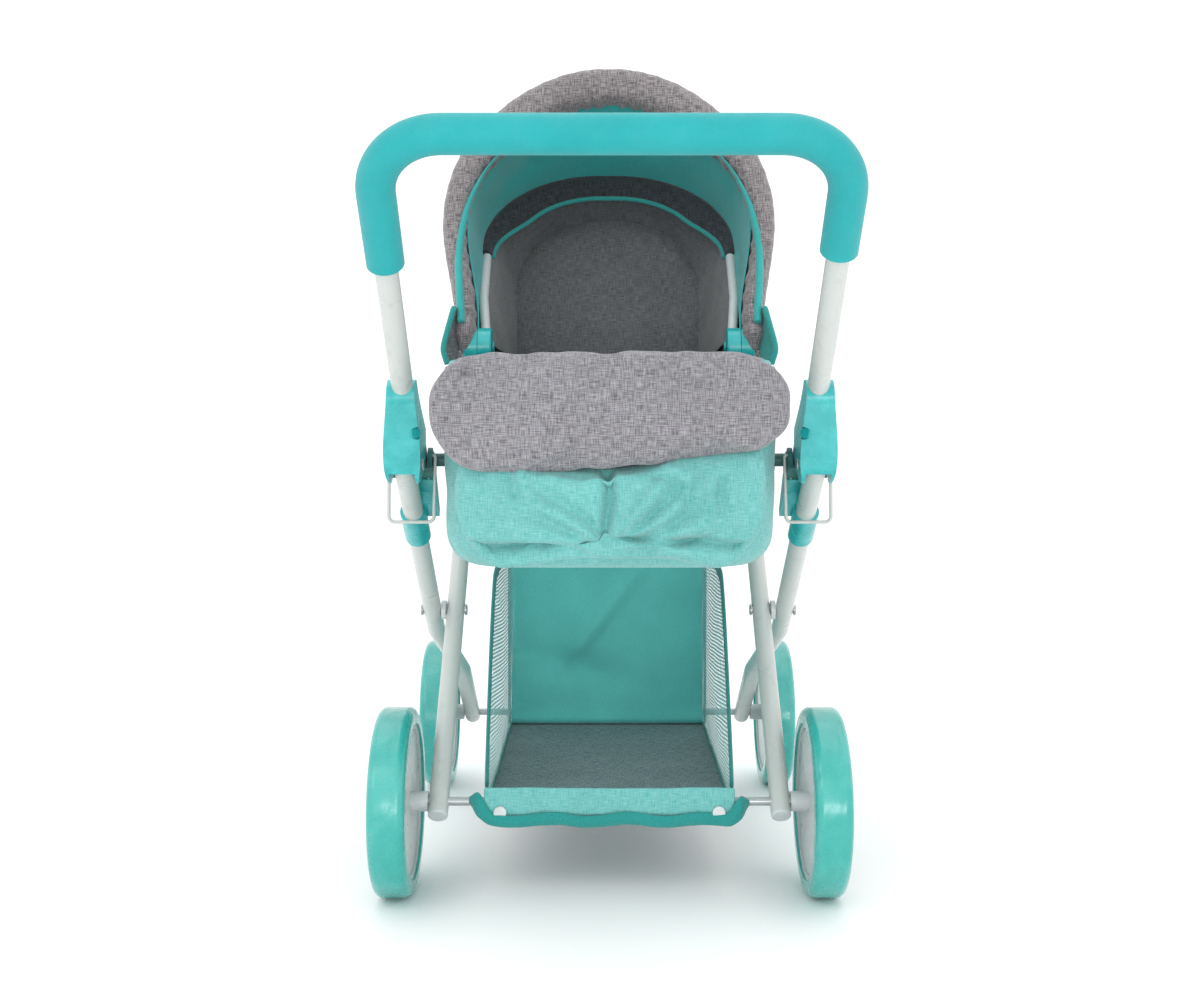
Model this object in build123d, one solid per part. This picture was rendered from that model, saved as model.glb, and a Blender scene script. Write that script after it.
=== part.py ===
from build123d import *
import os
from math import atan2, cos, hypot, radians, sin, tan

# Doll stroller, millimetres. +Z is up, +Y is the way it is pushed, and -X is its left.
# It is laid out from the rear axle's plane (Y = 0) and the floor (Z = 0), and every
# piece is then moved so that the origin is on the floor at the middle of the object.

# ---- driving dimensions -------------------------------------------------------------
# wheels and axles
wheel_r = 75.0
tyre_width = 29.0
tyre_depth = 13.0
rear_half_track = 170.0
front_half_track = 175.0
wheelbase = 378.0
axle_r = 3.5
hub_r = 8.0
hub_reach = 13.0
axle_cap_r = 9.0
axle_cap_length = 6.0

# tubes of the frame
tube_r = 8.0
tube_wall = 1.2
rear_leg_x = 136.5
rear_leg_top_y = 295.0
rear_leg_top_z = 350.0
rear_leg_tail = 12.0
front_leg_top_x = 151.7
front_leg_pivot_x = 157.0
front_leg_foot_x = 142.0
front_leg_tail = 9.0
pin_y = -85.0
pin_z = 347.0
front_leg_over_pin = 4.0
pivot_bolt_r = 3.0
joggle_start = 20.0
joggle_length = 150.0

# handle
handle_x = 150.3
handle_tail_x = 146.5
handle_tail_y = -34.5
handle_over_leg = 2 * tube_r + 2.0
handle_tilt = 44.177
handle_bar_z = 554.4
handle_bend_r = 45.0
grip_r = tube_r + 4.8
grip_left_share = 0.3288
grip_right_share = 0.2934

# hinge housings, cradles, boots and bails
housing_width = 2 * tube_r + 11.0
housing_x = 151.5
housing_chin_r = tube_r + 6.0
housing_slot_r = tube_r + 1.8
cheek_gap = 1.2
handle_fold_deg = 75.0
bail_y = -54.0
bail_z = 353.0
bail_drop = 50.4
wire_r = 1.3
boot_start = 52.0
boot_end = 94.0
boot_r = tube_r + 2.3
button_r = 4.5
button_travel = 2.5

# cot
cot_half_width = 122.0
cot_near_y = -112.0
cot_far_y = 334.0
cot_bottom_z = 271.0
cot_rim_z = 424.0
cot_wall = 6.0
cot_corner_r = 58.0
seat_rod_r = 4.0
backrest_tilt = 18.4
backrest_length = 294.0
backrest_half_width = 104.0
backrest_thick = 20.0
backrest_foot_y = 152.0

# hood
hood_y = 45.0
hinge_r = 15.5
hood_z = cot_rim_z + hinge_r + 0.5
hinge_disc = 11.2
front_bow_deg = 72.0
rear_bow_deg = 45.0
front_bow_half = 126.0
rear_bow_half = 106.0
front_bow_reach = 238.0
rear_bow_reach = 226.0
bow_r = 4.0
hood_crown_z = 687.0
hood_half_width = 140.0
hood_wall = 8.5

# basket
basket_half_width = 100.0
basket_near_half = 112.0
basket_floor_z = wheel_r - 13.0
basket_cloth = 4.0
basket_far_top_z = 262.0

# clearances
running = 0.06
gap = 0.4

# ---- the frame's lines --------------------------------------------------------------
axle_z = wheel_r
rear_leg_rise = (rear_leg_top_z - axle_z) / rear_leg_top_y
front_leg_fall = (pin_z - axle_z) / (wheelbase - pin_y)
pivot_y = (pin_z + front_leg_fall * pin_y - axle_z) / (rear_leg_rise + front_leg_fall)
pivot_z = axle_z + rear_leg_rise * pivot_y

leg_angle = atan2(pin_z - axle_z, wheelbase - pin_y)
along_leg = Vector(0, cos(leg_angle), -sin(leg_angle))
off_leg = Vector(0, sin(leg_angle), cos(leg_angle))
rear_leg_angle = atan2(rear_leg_top_z - axle_z, rear_leg_top_y)
along_rear_leg = Vector(0, cos(rear_leg_angle), sin(rear_leg_angle))

handle_angle = radians(handle_tilt)
leg_z_at_tail = pin_z - front_leg_fall * (handle_tail_y - pin_y)
handle_tail_z = leg_z_at_tail + handle_over_leg / cos(leg_angle)
handle_bar_y = handle_tail_y - (handle_bar_z - handle_tail_z) / tan(handle_angle)
along_handle = Vector(0, -cos(handle_angle), sin(handle_angle))
off_handle = Vector(0, sin(handle_angle), cos(handle_angle))
handle_length = hypot(handle_bar_y - handle_tail_y, handle_bar_z - handle_tail_z)

pin_point = Vector(0, pin_y, pin_z)
bail_point = Vector(0, bail_y, bail_z)
hood_point = Vector(0, hood_y, hood_z)
pin_to_pivot = hypot(pivot_y - pin_y, pivot_z - pin_z)
splay = (front_leg_pivot_x - front_leg_top_x) / pin_to_pivot

# the origin: middle of the length, from the grip's near side to the front tyres
origin_y = ((handle_bar_y - grip_r) + (wheelbase + wheel_r)) / 2

os.makedirs("parts", exist_ok=True)
nodes = {}


def save(name, shape):
    """Keep a finished piece under its own name."""
    nodes[name] = shape


def save_pair(name, shape):
    """Keep a right-hand piece and its mirror image as two pieces."""
    save(name + "_right", shape)
    save(name + "_left", mirror(shape, about=Plane.YZ))


def save_group(name, shapes):
    """Keep identical loose pieces, and their mirror images, as one node."""
    both = list(shapes) + [mirror(s, about=Plane.YZ) for s in shapes]
    save(name, Compound(children=[s.solid() for s in both]))


def at(y, z, x=0.0):
    return Vector(x, y, z)


def cylinder_x(x0, x1, y, z, r):
    """A round bar along X."""
    return Plane(origin=(x0, y, z), x_dir=(0, 1, 0), z_dir=(1, 0, 0)) * Cylinder(
        r, x1 - x0, align=(Align.CENTER, Align.CENTER, Align.MIN)
    )


def side_plate(outline, x0, x1):
    """A closed outline drawn in Y and Z, given thickness along X."""
    face = make_face(outline)
    return extrude(Plane.YZ.offset(x0) * face, amount=x1 - x0)


def box_between(x0, x1, y0, y1, z0, z1):
    return Pos((x0 + x1) / 2, (y0 + y1) / 2, (z0 + z1) / 2) * Box(x1 - x0, y1 - y0, z1 - z0)


def rod(points, radii, r, bore=0.0):
    """A round bar or tube that follows straight runs joined by arcs."""
    path = FilletPolyline(*points, radius=radii) if radii else Line(*points)
    section = Circle(r) - Circle(bore) if bore else Circle(r)
    return sweep(Plane(origin=path @ 0, z_dir=path % 0) * section, path=path)


# ---- wheels -------------------------------------------------------------------------
def tyre(x):
    """Hollow tyre with a crowned tread."""
    outer = RectangleRounded(tyre_width, 2 * tyre_depth, 6.5)
    half = outer & Pos(0, tyre_depth / 2) * Rectangle(tyre_width, tyre_depth)
    ring = Pos(0, wheel_r - tyre_depth) * half
    return Pos(x, 0, 0) * revolve(ring, Axis.X)


def rim(x, inner_end):
    """Moulded rim: a plain web on the inboard side and six ribs outboard."""
    seat_r = wheel_r - tyre_depth - running
    barrel = Pos(0, seat_r - 2) * Rectangle(tyre_width - 4, 4)
    web = Pos(-9, (seat_r + axle_r) / 2) * Rectangle(3.5, seat_r - axle_r - 1)
    reach = x - inner_end
    hub = Pos((hub_reach - reach) / 2, hub_r / 2) * Rectangle(hub_reach + reach, hub_r)
    body = revolve(barrel + web + hub, Axis.X)
    for k in range(6):
        rib = Pos(-1, 0, (seat_r + hub_r) / 2 - 1) * Box(14, 4, seat_r - hub_r - 1)
        body += Rot(60 * k, 0, 0) * rib
    body -= Rot(0, 90, 0) * Cylinder(axle_r + running, 4 * wheel_r)
    return Pos(x, 0, 0) * body


def axle(half_track):
    reach = half_track + hub_reach + axle_cap_length / 2
    return Rot(0, 90, 0) * Cylinder(axle_r, 2 * reach)


def axle_cap(half_track):
    """Domed push-on cap outside the hub."""
    x0 = half_track + hub_reach + gap
    cap = cylinder_x(x0, x0 + axle_cap_length, 0, 0, axle_cap_r)
    cap = fillet(cap.edges().group_by(Axis.X)[-1], 3.0)
    socket_end = half_track + hub_reach + axle_cap_length / 2 + 0.2
    return cap - cylinder_x(x0 - 1, socket_end, 0, 0, axle_r + 0.02)


for end, track, leg_side, y in (
    ("rear", rear_half_track, rear_leg_x + tube_r, 0.0),
    ("front", front_half_track, front_leg_foot_x + tube_r, wheelbase),
):
    place = Pos(0, y, axle_z)
    save_pair(f"tyre_{end}", place * tyre(track))
    save_pair(f"rim_{end}", place * rim(track, leg_side + gap))
    save(f"axle_{end}", place * axle(track))
    save_group(f"axle_caps_{end}", [place * axle_cap(track)])


# ---- rear legs ----------------------------------------------------------------------
def rear_leg():
    """Straight tube from below the rear axle up to the cot."""
    foot = at(0, axle_z, rear_leg_x) - along_rear_leg * rear_leg_tail
    top = at(rear_leg_top_y, rear_leg_top_z, rear_leg_x) + along_rear_leg * 5
    leg = rod([foot, top], None, tube_r, tube_r - tube_wall)
    leg -= cylinder_x(rear_leg_x - 20, rear_leg_x + 20, 0, axle_z, axle_r + running)
    return leg - cylinder_x(rear_leg_x - 20, rear_leg_x + 20, pivot_y, pivot_z, pivot_bolt_r + running)


def end_plug(end, outward, length=10.0, head=2.5):
    """Plastic plug pushed into a tube's end, with a rounded head."""
    inside = rod([end - outward * length, end], None, tube_r - tube_wall - 0.05)
    cap = rod([end + outward * 0.02, end + outward * head], None, tube_r)
    cap = fillet(cap.edges().sort_by(lambda e: (e.center() - end).dot(outward))[-1], 0.75 * head)
    return inside + cap + rod([end - outward * 1, end + outward * 1], None, tube_r - tube_wall - 0.05)


save_pair("rear_leg", rear_leg())
rear_foot = at(0, axle_z, rear_leg_x) - along_rear_leg * rear_leg_tail
rear_top = at(rear_leg_top_y, rear_leg_top_z, rear_leg_x) + along_rear_leg * 5
save_group(
    "rear_leg_plugs",
    [end_plug(rear_foot, -along_rear_leg, 6.0), end_plug(rear_top, along_rear_leg)],
)


# ---- front legs ---------------------------------------------------------------------
def front_leg_point(s):
    """A point on the front leg's upper run, s mm from the pin towards the foot."""
    return pin_point + along_leg * s + Vector(front_leg_top_x + splay * s, 0, 0)


front_leg_run = hypot(wheelbase - pin_y, pin_z - axle_z)


def front_leg():
    """Tube with a straight upper run, an inward joggle and a straight foot."""
    s_in = pin_to_pivot + joggle_start
    s_out = s_in + joggle_length
    foot_x = Vector(front_leg_foot_x, 0, 0)
    points = [
        front_leg_point(-front_leg_over_pin),
        front_leg_point(s_in + 25),
        pin_point + along_leg * (s_out - 25) + foot_x,
        pin_point + along_leg * (front_leg_run + front_leg_tail) + foot_x,
    ]
    leg = rod(points, [70.0, 70.0], tube_r, tube_r - tube_wall)
    leg -= cylinder_x(110, 180, wheelbase, axle_z, axle_r + running)
    leg -= cylinder_x(110, 190, pivot_y, pivot_z, pivot_bolt_r + running)
    return leg - cylinder_x(110, 190, pin_y, pin_z, pivot_bolt_r + running)


save_pair("front_leg", front_leg())
front_foot = pin_point + along_leg * (front_leg_run + front_leg_tail) + Vector(front_leg_foot_x, 0, 0)
save_group("front_leg_plugs", [end_plug(front_foot, along_leg, 4.0, 3.0)])


# ---- scissor pivot ------------------------------------------------------------------
def round_head(x0, x1, y, z, r):
    """Low round bolt head; x1 is the crowned end."""
    lo, hi = min(x0, x1), max(x0, x1)
    head = cylinder_x(lo, hi, y, z, r)
    return fillet(head.edges().group_by(Axis.X)[-1 if x1 > x0 else 0], 1.0)


def pivot_bolt():
    x0 = rear_leg_x - tube_r - 0.5
    x1 = front_leg_pivot_x + tube_r + 0.5
    bolt = cylinder_x(x0, x1, pivot_y, pivot_z, pivot_bolt_r)
    bolt += round_head(x0, x0 - 2.0, pivot_y, pivot_z, 5.0)
    return bolt + round_head(x1, x1 + 2.0, pivot_y, pivot_z, 5.0)


def pivot_spacer():
    x0 = rear_leg_x + tube_r + gap
    x1 = front_leg_pivot_x - tube_r - gap / 2
    ring = cylinder_x(x0, x1, pivot_y, pivot_z, 8.5)
    return ring - cylinder_x(x0 - 1, x1 + 1, pivot_y, pivot_z, pivot_bolt_r + running)


save_group("pivot_bolts", [pivot_bolt()])
save_group("pivot_spacers", [pivot_spacer()])


# ---- handle -------------------------------------------------------------------------
def handle_point(x, s):
    """A point on the handle's plane, s mm up from the tube's tail end."""
    return at(handle_tail_y, handle_tail_z, x) + along_handle * s


step_low, step_high = 50.0, 78.0
handle_run = [
    (handle_tail_x, 0.0),
    (handle_tail_x, step_low),
    (handle_x, step_high),
    (handle_x, handle_length),
]


def handle_tube():
    """One tube bent into a U, with a small step inward inside each housing."""
    right = [handle_point(x, s) for x, s in handle_run]
    left = [handle_point(-x, s) for x, s in reversed(handle_run)]
    radii = [60.0, 60.0, handle_bend_r, handle_bend_r, 60.0, 60.0]
    return rod(right + left, radii, tube_r, tube_r - tube_wall)


def handle_grip():
    """Foam sleeve over the bar and down both sides."""
    points = [
        handle_point(handle_x, handle_length * (1 - grip_right_share)),
        handle_point(handle_x, handle_length),
        handle_point(-handle_x, handle_length),
        handle_point(-handle_x, handle_length * (1 - grip_left_share)),
    ]
    return rod(points, [handle_bend_r] * 2, grip_r, tube_r + 0.05)


save("handle_tube", handle_tube())
save("handle_grip", handle_grip())
tail_end = handle_point(handle_tail_x, 0)
save_group("handle_plugs", [end_plug(tail_end, -along_handle, 10.0, 2.0)])


# ---- hinge housings -----------------------------------------------------------------
mouth_s = 88.0
collar_r = tube_r + 4.0
skirt_s = 38.0


def yz(v):
    return (v.Y, v.Z)


def housing_outline():
    """Side outline: rounded mouth, straight back, and a round chin about the pin."""
    mouth_near = handle_point(0, mouth_s) - off_handle * collar_r
    mouth_tip = handle_point(0, mouth_s + 8.0)
    mouth_far = handle_point(0, mouth_s) + off_handle * collar_r
    back = handle_point(0, skirt_s) + off_handle * collar_r
    waist = pin_point + along_leg * housing_chin_r * 0.9 + off_leg * housing_chin_r * 0.45
    chin_far = pin_point + Vector(0, cos(radians(-50)), sin(radians(-50))) * housing_chin_r
    chin_low = pin_point + Vector(0, cos(radians(-120)), sin(radians(-120))) * housing_chin_r
    chin_near = pin_point + Vector(0, cos(radians(188)), sin(radians(188))) * housing_chin_r
    return [
        ThreePointArc(yz(mouth_near), yz(mouth_tip), yz(mouth_far)),
        Line(yz(mouth_far), yz(back)),
        Line(yz(back), yz(waist)),
        Line(yz(waist), yz(chin_far)),
        ThreePointArc(yz(chin_far), yz(chin_low), yz(chin_near)),
        Line(yz(chin_near), yz(mouth_near)),
    ]


def housing_front():
    """Outline seen from behind the stroller: narrow mouth, full middle, rounded chin."""
    half = housing_width / 2
    mouth_half, mouth_z = half - 3.1, pin_z + 66
    chin_half, chin_z = half - 2.9, pin_z - housing_chin_r - 1
    spline = Spline(
        (mouth_half, mouth_z),
        (half - 2.5, pin_z + 40),
        (half, pin_z + 8),
        (half - 1.1, pin_z - 8),
        (chin_half, chin_z),
    )
    right = spline
    left = mirror(spline, about=Plane.YZ)
    top = Line((-mouth_half, mouth_z), (mouth_half, mouth_z))
    low = Line((-chin_half, chin_z), (chin_half, chin_z))
    face = make_face([right, left, top, low])
    plane = Plane(origin=(housing_x, -200, 0), x_dir=(1, 0, 0), z_dir=(0, -1, 0))
    return extrude(plane * face, amount=-300)


def handle_bore():
    """Space for the handle tube inside a housing."""
    points = [handle_point(x, s) for x, s in handle_run[:3]]
    points += [handle_point(handle_x, 150.0)]
    points[0] = handle_point(handle_tail_x, -20.0)
    return rod(points, [60.0, 60.0], tube_r + 0.03)


def leg_slot():
    """Space that the front leg's top end sweeps as the handle folds."""
    slot = cylinder_x(slot_x0, slot_x1, pin_y, pin_z, housing_slot_r)
    steps = 4
    for k in range(steps + 1):
        turn = handle_fold_deg * k / steps
        way = along_leg.rotate(Axis.X, -turn)
        side = off_leg.rotate(Axis.X, -turn)
        corners = [
            pin_point + side * housing_slot_r,
            pin_point + side * housing_slot_r + way * 70,
            pin_point - side * housing_slot_r + way * 70,
            pin_point - side * housing_slot_r,
        ]
        slot += side_plate(Polyline(*[yz(c) for c in corners], close=True), slot_x0, slot_x1)
    return slot


slot_x0 = front_leg_top_x - tube_r - cheek_gap
slot_x1 = front_leg_top_x + tube_r + cheek_gap + 0.4

button_way = Vector(-0.64, -0.77, 0).normalized()
button_seat = at(-97.5, 370.0, 143.6)


def button_bore(r, depth, proud):
    """A round plug along the button's line, from inside the housing outwards."""
    return rod([button_seat - button_way * depth, button_seat + button_way * proud], None, r)


def housing():
    """Moulded housing clamped on the handle tube, with cheeks about the leg's pin."""
    x0 = housing_x - housing_width / 2
    body = side_plate(housing_outline(), x0, x0 + housing_width)
    body = body & housing_front()
    body -= leg_slot()
    body -= handle_bore()
    body -= cylinder_x(x0 - 5, x0 + housing_width + 5, pin_y, pin_z, pivot_bolt_r + running)
    return body.solids().sort_by(SortBy.VOLUME)[-1]


whole_housing = housing()
pocket_depth = 7.0
save_pair("hinge_housing", whole_housing - button_bore(button_r + 0.08, pocket_depth, 12.0))


def release_button():
    """Sprung round button in the housing's inner bevel."""
    stem = button_bore(button_r, pocket_depth - button_travel - 0.4, 4.2)
    top = stem.edges().sort_by(lambda e: (e.center() - button_seat).dot(button_way))[-1]
    return fillet(top, 1.2)


save_pair("release_button", release_button())


def hinge_pin():
    """Pin through both cheeks and the leg, with low heads."""
    x0 = housing_x - housing_width / 2
    x1 = x0 + housing_width
    pin = cylinder_x(x0 - 0.3, x1 + 0.3, pin_y, pin_z, pivot_bolt_r)
    pin += cylinder_x(x0 - 0.9, x0 - 0.2, pin_y, pin_z, 4.5)
    return pin + cylinder_x(x1 + 0.2, x1 + 0.8, pin_y, pin_z, 4.5)


save_group("hinge_pins", [hinge_pin()])


# ---- cradles that the handle's tails lie in -----------------------------------------
ear_thick = 3.4
inner_ear_x1 = handle_tail_x - tube_r - 1.1
inner_ear_x0 = inner_ear_x1 - ear_thick
outer_ear_x0 = front_leg_top_x + tube_r + 1.9
outer_ear_x1 = outer_ear_x0 + ear_thick
floor_low, floor_high = tube_r + 0.6, tube_r + 3.2
bail_foot = (bail_point - pin_point).dot(along_leg)
bail_lift = (bail_point - pin_point).dot(off_leg)


def leg_place(s, p):
    """A point in the Y-Z plane, s along the leg from the pin and p off its axis."""
    return yz(pin_point + along_leg * s + off_leg * p)


def ear(x0, x1):
    """Side ear that rises from the cradle's floor to the bail's eye."""
    foot = [
        leg_place(bail_foot - 3, floor_low),
        leg_place(bail_foot - 6, bail_lift),
        leg_place(bail_foot + 6, bail_lift),
        leg_place(bail_foot + 13, floor_low),
    ]
    plate = side_plate(Polyline(*foot, close=True), x0, x1)
    return plate + cylinder_x(x0, x1, bail_y, bail_z, 6.0)


stub_y, stub_z, stub_r = bail_y + 9.0, bail_z - 3.5, 5.0


def cradle():
    """Channel fixed on the leg: floor, two ears, and the stub that carries the cot."""
    floor = [
        leg_place(bail_foot - 3, floor_low),
        leg_place(bail_foot - 3, floor_high),
        leg_place(bail_foot + 13, floor_high),
        leg_place(bail_foot + 13, floor_low),
    ]
    body = side_plate(Polyline(*floor, close=True), inner_ear_x0, outer_ear_x1)
    body += ear(inner_ear_x0, inner_ear_x1) + ear(outer_ear_x0, outer_ear_x1)
    eye = wire_r + running
    body -= cylinder_x(inner_ear_x0 - 1, inner_ear_x1 + 1, bail_y, bail_z, eye)
    body -= cylinder_x(outer_ear_x0 - 1, outer_ear_x1 + 1, bail_y, bail_z, eye)
    body += cylinder_x(inner_ear_x0, inner_ear_x1, stub_y, stub_z, stub_r + 1.5)
    stub = cylinder_x(cot_half_width + 2.3, inner_ear_x0 + 0.5, stub_y, stub_z, stub_r)
    flange = cylinder_x(cot_half_width + 0.2, cot_half_width + 2.4, stub_y, stub_z, 13.0)
    return body + stub + flange


save_pair("cot_cradle", cradle())


def bail():
    """Wire loop that hangs from the cradle's ears with the leg passing through it."""
    low = bail_z - bail_drop
    points = [
        at(bail_y, bail_z, inner_ear_x1 + 0.4),
        at(bail_y, bail_z, inner_ear_x0 - 1.9),
        at(bail_y, low, inner_ear_x0 - 0.6),
        at(bail_y, low, outer_ear_x1 + 2.6),
        at(bail_y, bail_z, outer_ear_x1 + 1.9),
        at(bail_y, bail_z, outer_ear_x0 - 0.8),
    ]
    return rod(points, [1.6, 4.5, 4.5, 1.6], wire_r)


save_pair("wire_bail", bail())


# ---- boots --------------------------------------------------------------------------
tail_half = tube_r + 0.6
boot_cheek = 3.8
boot_top = 2 * tube_r + 5.5
channel_floor = tube_r + 1.5


def boot():
    """Sleeve on the leg with a channel, open on its far side, for the handle's tail."""
    x_in = handle_tail_x - tail_half
    x_out = handle_tail_x + tail_half
    outline = [
        leg_place(bail_foot + 16, floor_low),
        leg_place(bail_foot + 17.5, boot_top),
        leg_place(bail_foot + 32, boot_top),
        leg_place(bail_foot + boot_start + 14, tube_r + 1.0),
        leg_place(bail_foot + boot_start + 14, 3.0),
        leg_place(bail_foot + boot_start - 8, 3.0),
        leg_place(bail_foot + boot_start - 16, floor_low),
    ]
    body = side_plate(Polyline(*outline, close=True), x_in - boot_cheek, x_out + boot_cheek)
    channel = [
        leg_place(bail_foot, channel_floor),
        leg_place(bail_foot, 60),
        leg_place(bail_foot + 38, 60),
        leg_place(bail_foot + 38, channel_floor),
    ]
    body -= side_plate(Polyline(*channel, close=True), x_in, x_out)
    sleeve_top = front_leg_point(bail_foot + boot_start)
    sleeve_low = front_leg_point(bail_foot + boot_end)
    body += rod([sleeve_top, sleeve_low], None, boot_r)
    bore_top = front_leg_point(bail_foot)
    bore_low = front_leg_point(bail_foot + boot_end + 10)
    return body - rod([bore_top, bore_low], None, tube_r + 0.05)


save_pair("leg_boot", boot())


# ---- cot ----------------------------------------------------------------------------
def plan(inset, y0=cot_near_y, y1=cot_far_y):
    """The cot's plan, pulled in by an inset."""
    width = 2 * (cot_half_width - inset)
    length = (y1 - y0) - 2 * inset
    return Pos(0, (y0 + y1) / 2) * RectangleRounded(width, length, cot_corner_r - inset)


def cot_shell():
    """Soft tub, open at the top."""
    outer = extrude(Pos(0, 0, cot_bottom_z) * plan(0), amount=cot_rim_z - cot_bottom_z)
    outer = fillet(outer.edges().group_by(Axis.Z)[0], 24.0)
    inner = extrude(Pos(0, 0, cot_bottom_z + cot_wall) * plan(cot_wall), amount=cot_rim_z)
    inner = fillet(inner.edges().group_by(Axis.Z)[0], 18.0)
    return outer - inner


apron_far_y = 12.0
apron_thick = 8.0


def apron():
    """Foot cover across the near part of the cot's opening."""
    lid = extrude(Pos(0, 0, cot_rim_z + gap) * plan(2), amount=apron_thick)
    cut = box_between(-300, 300, apron_far_y, 600, cot_rim_z - 50, cot_rim_z + 100)
    return lid - cut


muff_depth = 26.0
muff_half = 116.0
flap_half = 129.5
flap_depth = 34.0
flap_z0 = 346.0


def foot_muff():
    """Bulging light-coloured end of the foot cover, below the folded flap."""
    y1 = cot_near_y - gap
    block = box_between(-muff_half, muff_half, y1 - muff_depth, y1, cot_bottom_z, flap_z0 - 1.0)
    block = fillet(block.edges().filter_by(Axis.Y), 30.0)
    return fillet(block.faces().sort_by(Axis.Y)[0].edges(), 10.0)


def cover_flap():
    """Padded flap folded back over the end of the foot cover."""
    y1 = cot_near_y - gap
    block = box_between(-flap_half, flap_half, y1 - flap_depth, y1, flap_z0, cot_rim_z + 2)
    block = fillet(block.edges().filter_by(Axis.Y), 30.0)
    return fillet(block.faces().sort_by(Axis.Y)[0].edges(), 12.0)


board_thick = 3.0
board_z = cot_bottom_z + cot_wall + 0.1
mattress_z = board_z + board_thick + 0.1
mattress_thick = 16.0
mattress_top = mattress_z + mattress_thick


def base_board():
    """Stiff board under the mattress."""
    return extrude(Pos(0, 0, board_z) * plan(cot_wall + 20), amount=board_thick)


def mattress():
    pad = extrude(Pos(0, 0, mattress_z) * plan(cot_wall + 14), amount=mattress_thick)
    return fillet(pad.edges().group_by(Axis.Z)[-1], 5.0)


def backrest():
    """Padded board that leans back inside the hood, with an arched top."""
    lean = radians(backrest_tilt)
    foot_z = mattress_top + gap + backrest_thick / 2 * sin(lean)
    plane = Plane(
        origin=(0, backrest_foot_y, foot_z),
        x_dir=(1, 0, 0),
        z_dir=(0, -cos(lean), sin(lean)),
    )
    face = Pos(0, backrest_length / 2) * Rectangle(2 * backrest_half_width, backrest_length)
    top = face.vertices().group_by(Axis.Y)[-1]
    face = fillet(top, backrest_half_width - 8)
    pad = extrude(plane * face, amount=backrest_thick / 2, both=True)
    return fillet(pad.edges().group_by(Axis(plane.origin, plane.z_dir))[-1], 6.0)


seat_rod_x = cot_half_width - cot_wall - seat_rod_r - 1.0
seat_rod_z = cot_rim_z - 12.0


def seat_frame():
    """Steel rod ring that keeps the cot's opening in shape."""
    inset = cot_half_width - seat_rod_x
    y0, y1 = cot_near_y + inset, cot_far_y - inset
    r = cot_corner_r - inset
    x = seat_rod_x
    mid = (y0 + y1) / 2
    corners = [(x, mid), (x, y1), (-x, y1), (-x, y0), (x, y0), (x, mid - 0.01)]
    points = [Vector(a, b, seat_rod_z) for a, b in corners]
    return rod(points, [r] * 4, seat_rod_r)


save("cot_shell", cot_shell())
save("foot_cover", apron())
save("foot_muff", foot_muff())
save("cover_flap", cover_flap())
save("base_board", base_board())
save("mattress", mattress())
save("backrest", backrest())
save("seat_frame", seat_frame())

fitting_y = rear_leg_top_y
fitting_x = cot_half_width + 0.2


def cot_fitting():
    """Round fitting on the cot's side, beside a rear leg's top."""
    plate = cylinder_x(fitting_x, fitting_x + 2.2, fitting_y, rear_leg_top_z, 13.0)
    boss = cylinder_x(fitting_x, rear_leg_x - tube_r - 0.7, fitting_y, rear_leg_top_z, 7.0)
    return plate + boss


save_pair("cot_fitting", cot_fitting())


# ---- hood ---------------------------------------------------------------------------
disc_gap_x = 107.0


def hood_base():
    """Inner disc of a hood hinge, with a foot on the cot's ring."""
    x0, x1 = disc_gap_x - hinge_disc, disc_gap_x - 0.2
    disc = cylinder_x(x0, x1, hood_y, hood_z, hinge_r)
    disc = fillet(disc.edges().group_by(Axis.X)[0], 1.5)
    rod_top = seat_rod_z + seat_rod_r
    y0, y1 = hood_y - 9, hood_y + 9
    foot = box_between(x0 + 1, seat_rod_x + seat_rod_r, y0, y1, rod_top + 0.05, cot_rim_z)
    neck = box_between(x0 + 1, x1 - 0.5, y0, y1, rod_top + 0.5, hood_z - 6)
    return disc + foot + neck - cylinder_x(x0 - 5, x1 + 5, hood_y, hood_z, 2.5 + running)


def hood_disc():
    """Outer disc of a hood hinge, which turns with the front bow."""
    x0, x1 = disc_gap_x + 0.2, disc_gap_x + hinge_disc
    disc = cylinder_x(x0, x1, hood_y, hood_z, hinge_r)
    disc = fillet(disc.edges().group_by(Axis.X)[-1], 1.5)
    return disc - cylinder_x(x0 - 5, x1 + 5, hood_y, hood_z, 2.5 + running)


def hood_pin():
    x0, x1 = disc_gap_x - hinge_disc - 0.3, disc_gap_x + hinge_disc + 0.3
    pin = cylinder_x(x0, x1, hood_y, hood_z, 2.5)
    pin += round_head(x0, x0 - 1.5, hood_y, hood_z, 4.5)
    return pin + round_head(x1, x1 + 1.5, hood_y, hood_z, 4.5)


bow_seat = 4.0


def bow(x_foot, half, reach, lean, corner, r=bow_r):
    """Round bow in a plane through the hood's hinge line, lean degrees above level."""
    way = Vector(0, cos(radians(lean)), sin(radians(lean)))
    right = [(x_foot, hinge_r - bow_seat), (half, 62.0), (half, reach)]
    points = [hood_point + way * r + Vector(x, 0, 0) for x, r in right]
    points += [hood_point + way * r + Vector(-x, 0, 0) for x, r in reversed(right)]
    return rod(points, [60.0, corner, corner, 60.0], r)


front_foot_x = disc_gap_x + hinge_disc / 2
rear_foot_x = disc_gap_x - hinge_disc / 2
front_bow = (front_foot_x, front_bow_half, front_bow_reach, front_bow_deg, front_bow_half - 4)
rear_bow = (rear_foot_x, rear_bow_half, rear_bow_reach, rear_bow_deg, rear_bow_half - 8)

save_pair("hood_hinge_base", hood_base() - bow(*rear_bow, bow_r + 0.03))
save_pair("hood_hinge_disc", hood_disc() - bow(*front_bow, bow_r + 0.03))
save_group("hood_hinge_pins", [hood_pin()])
save("hood_front_bow", bow(*front_bow))
save("hood_rear_bow", bow(*rear_bow))

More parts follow.
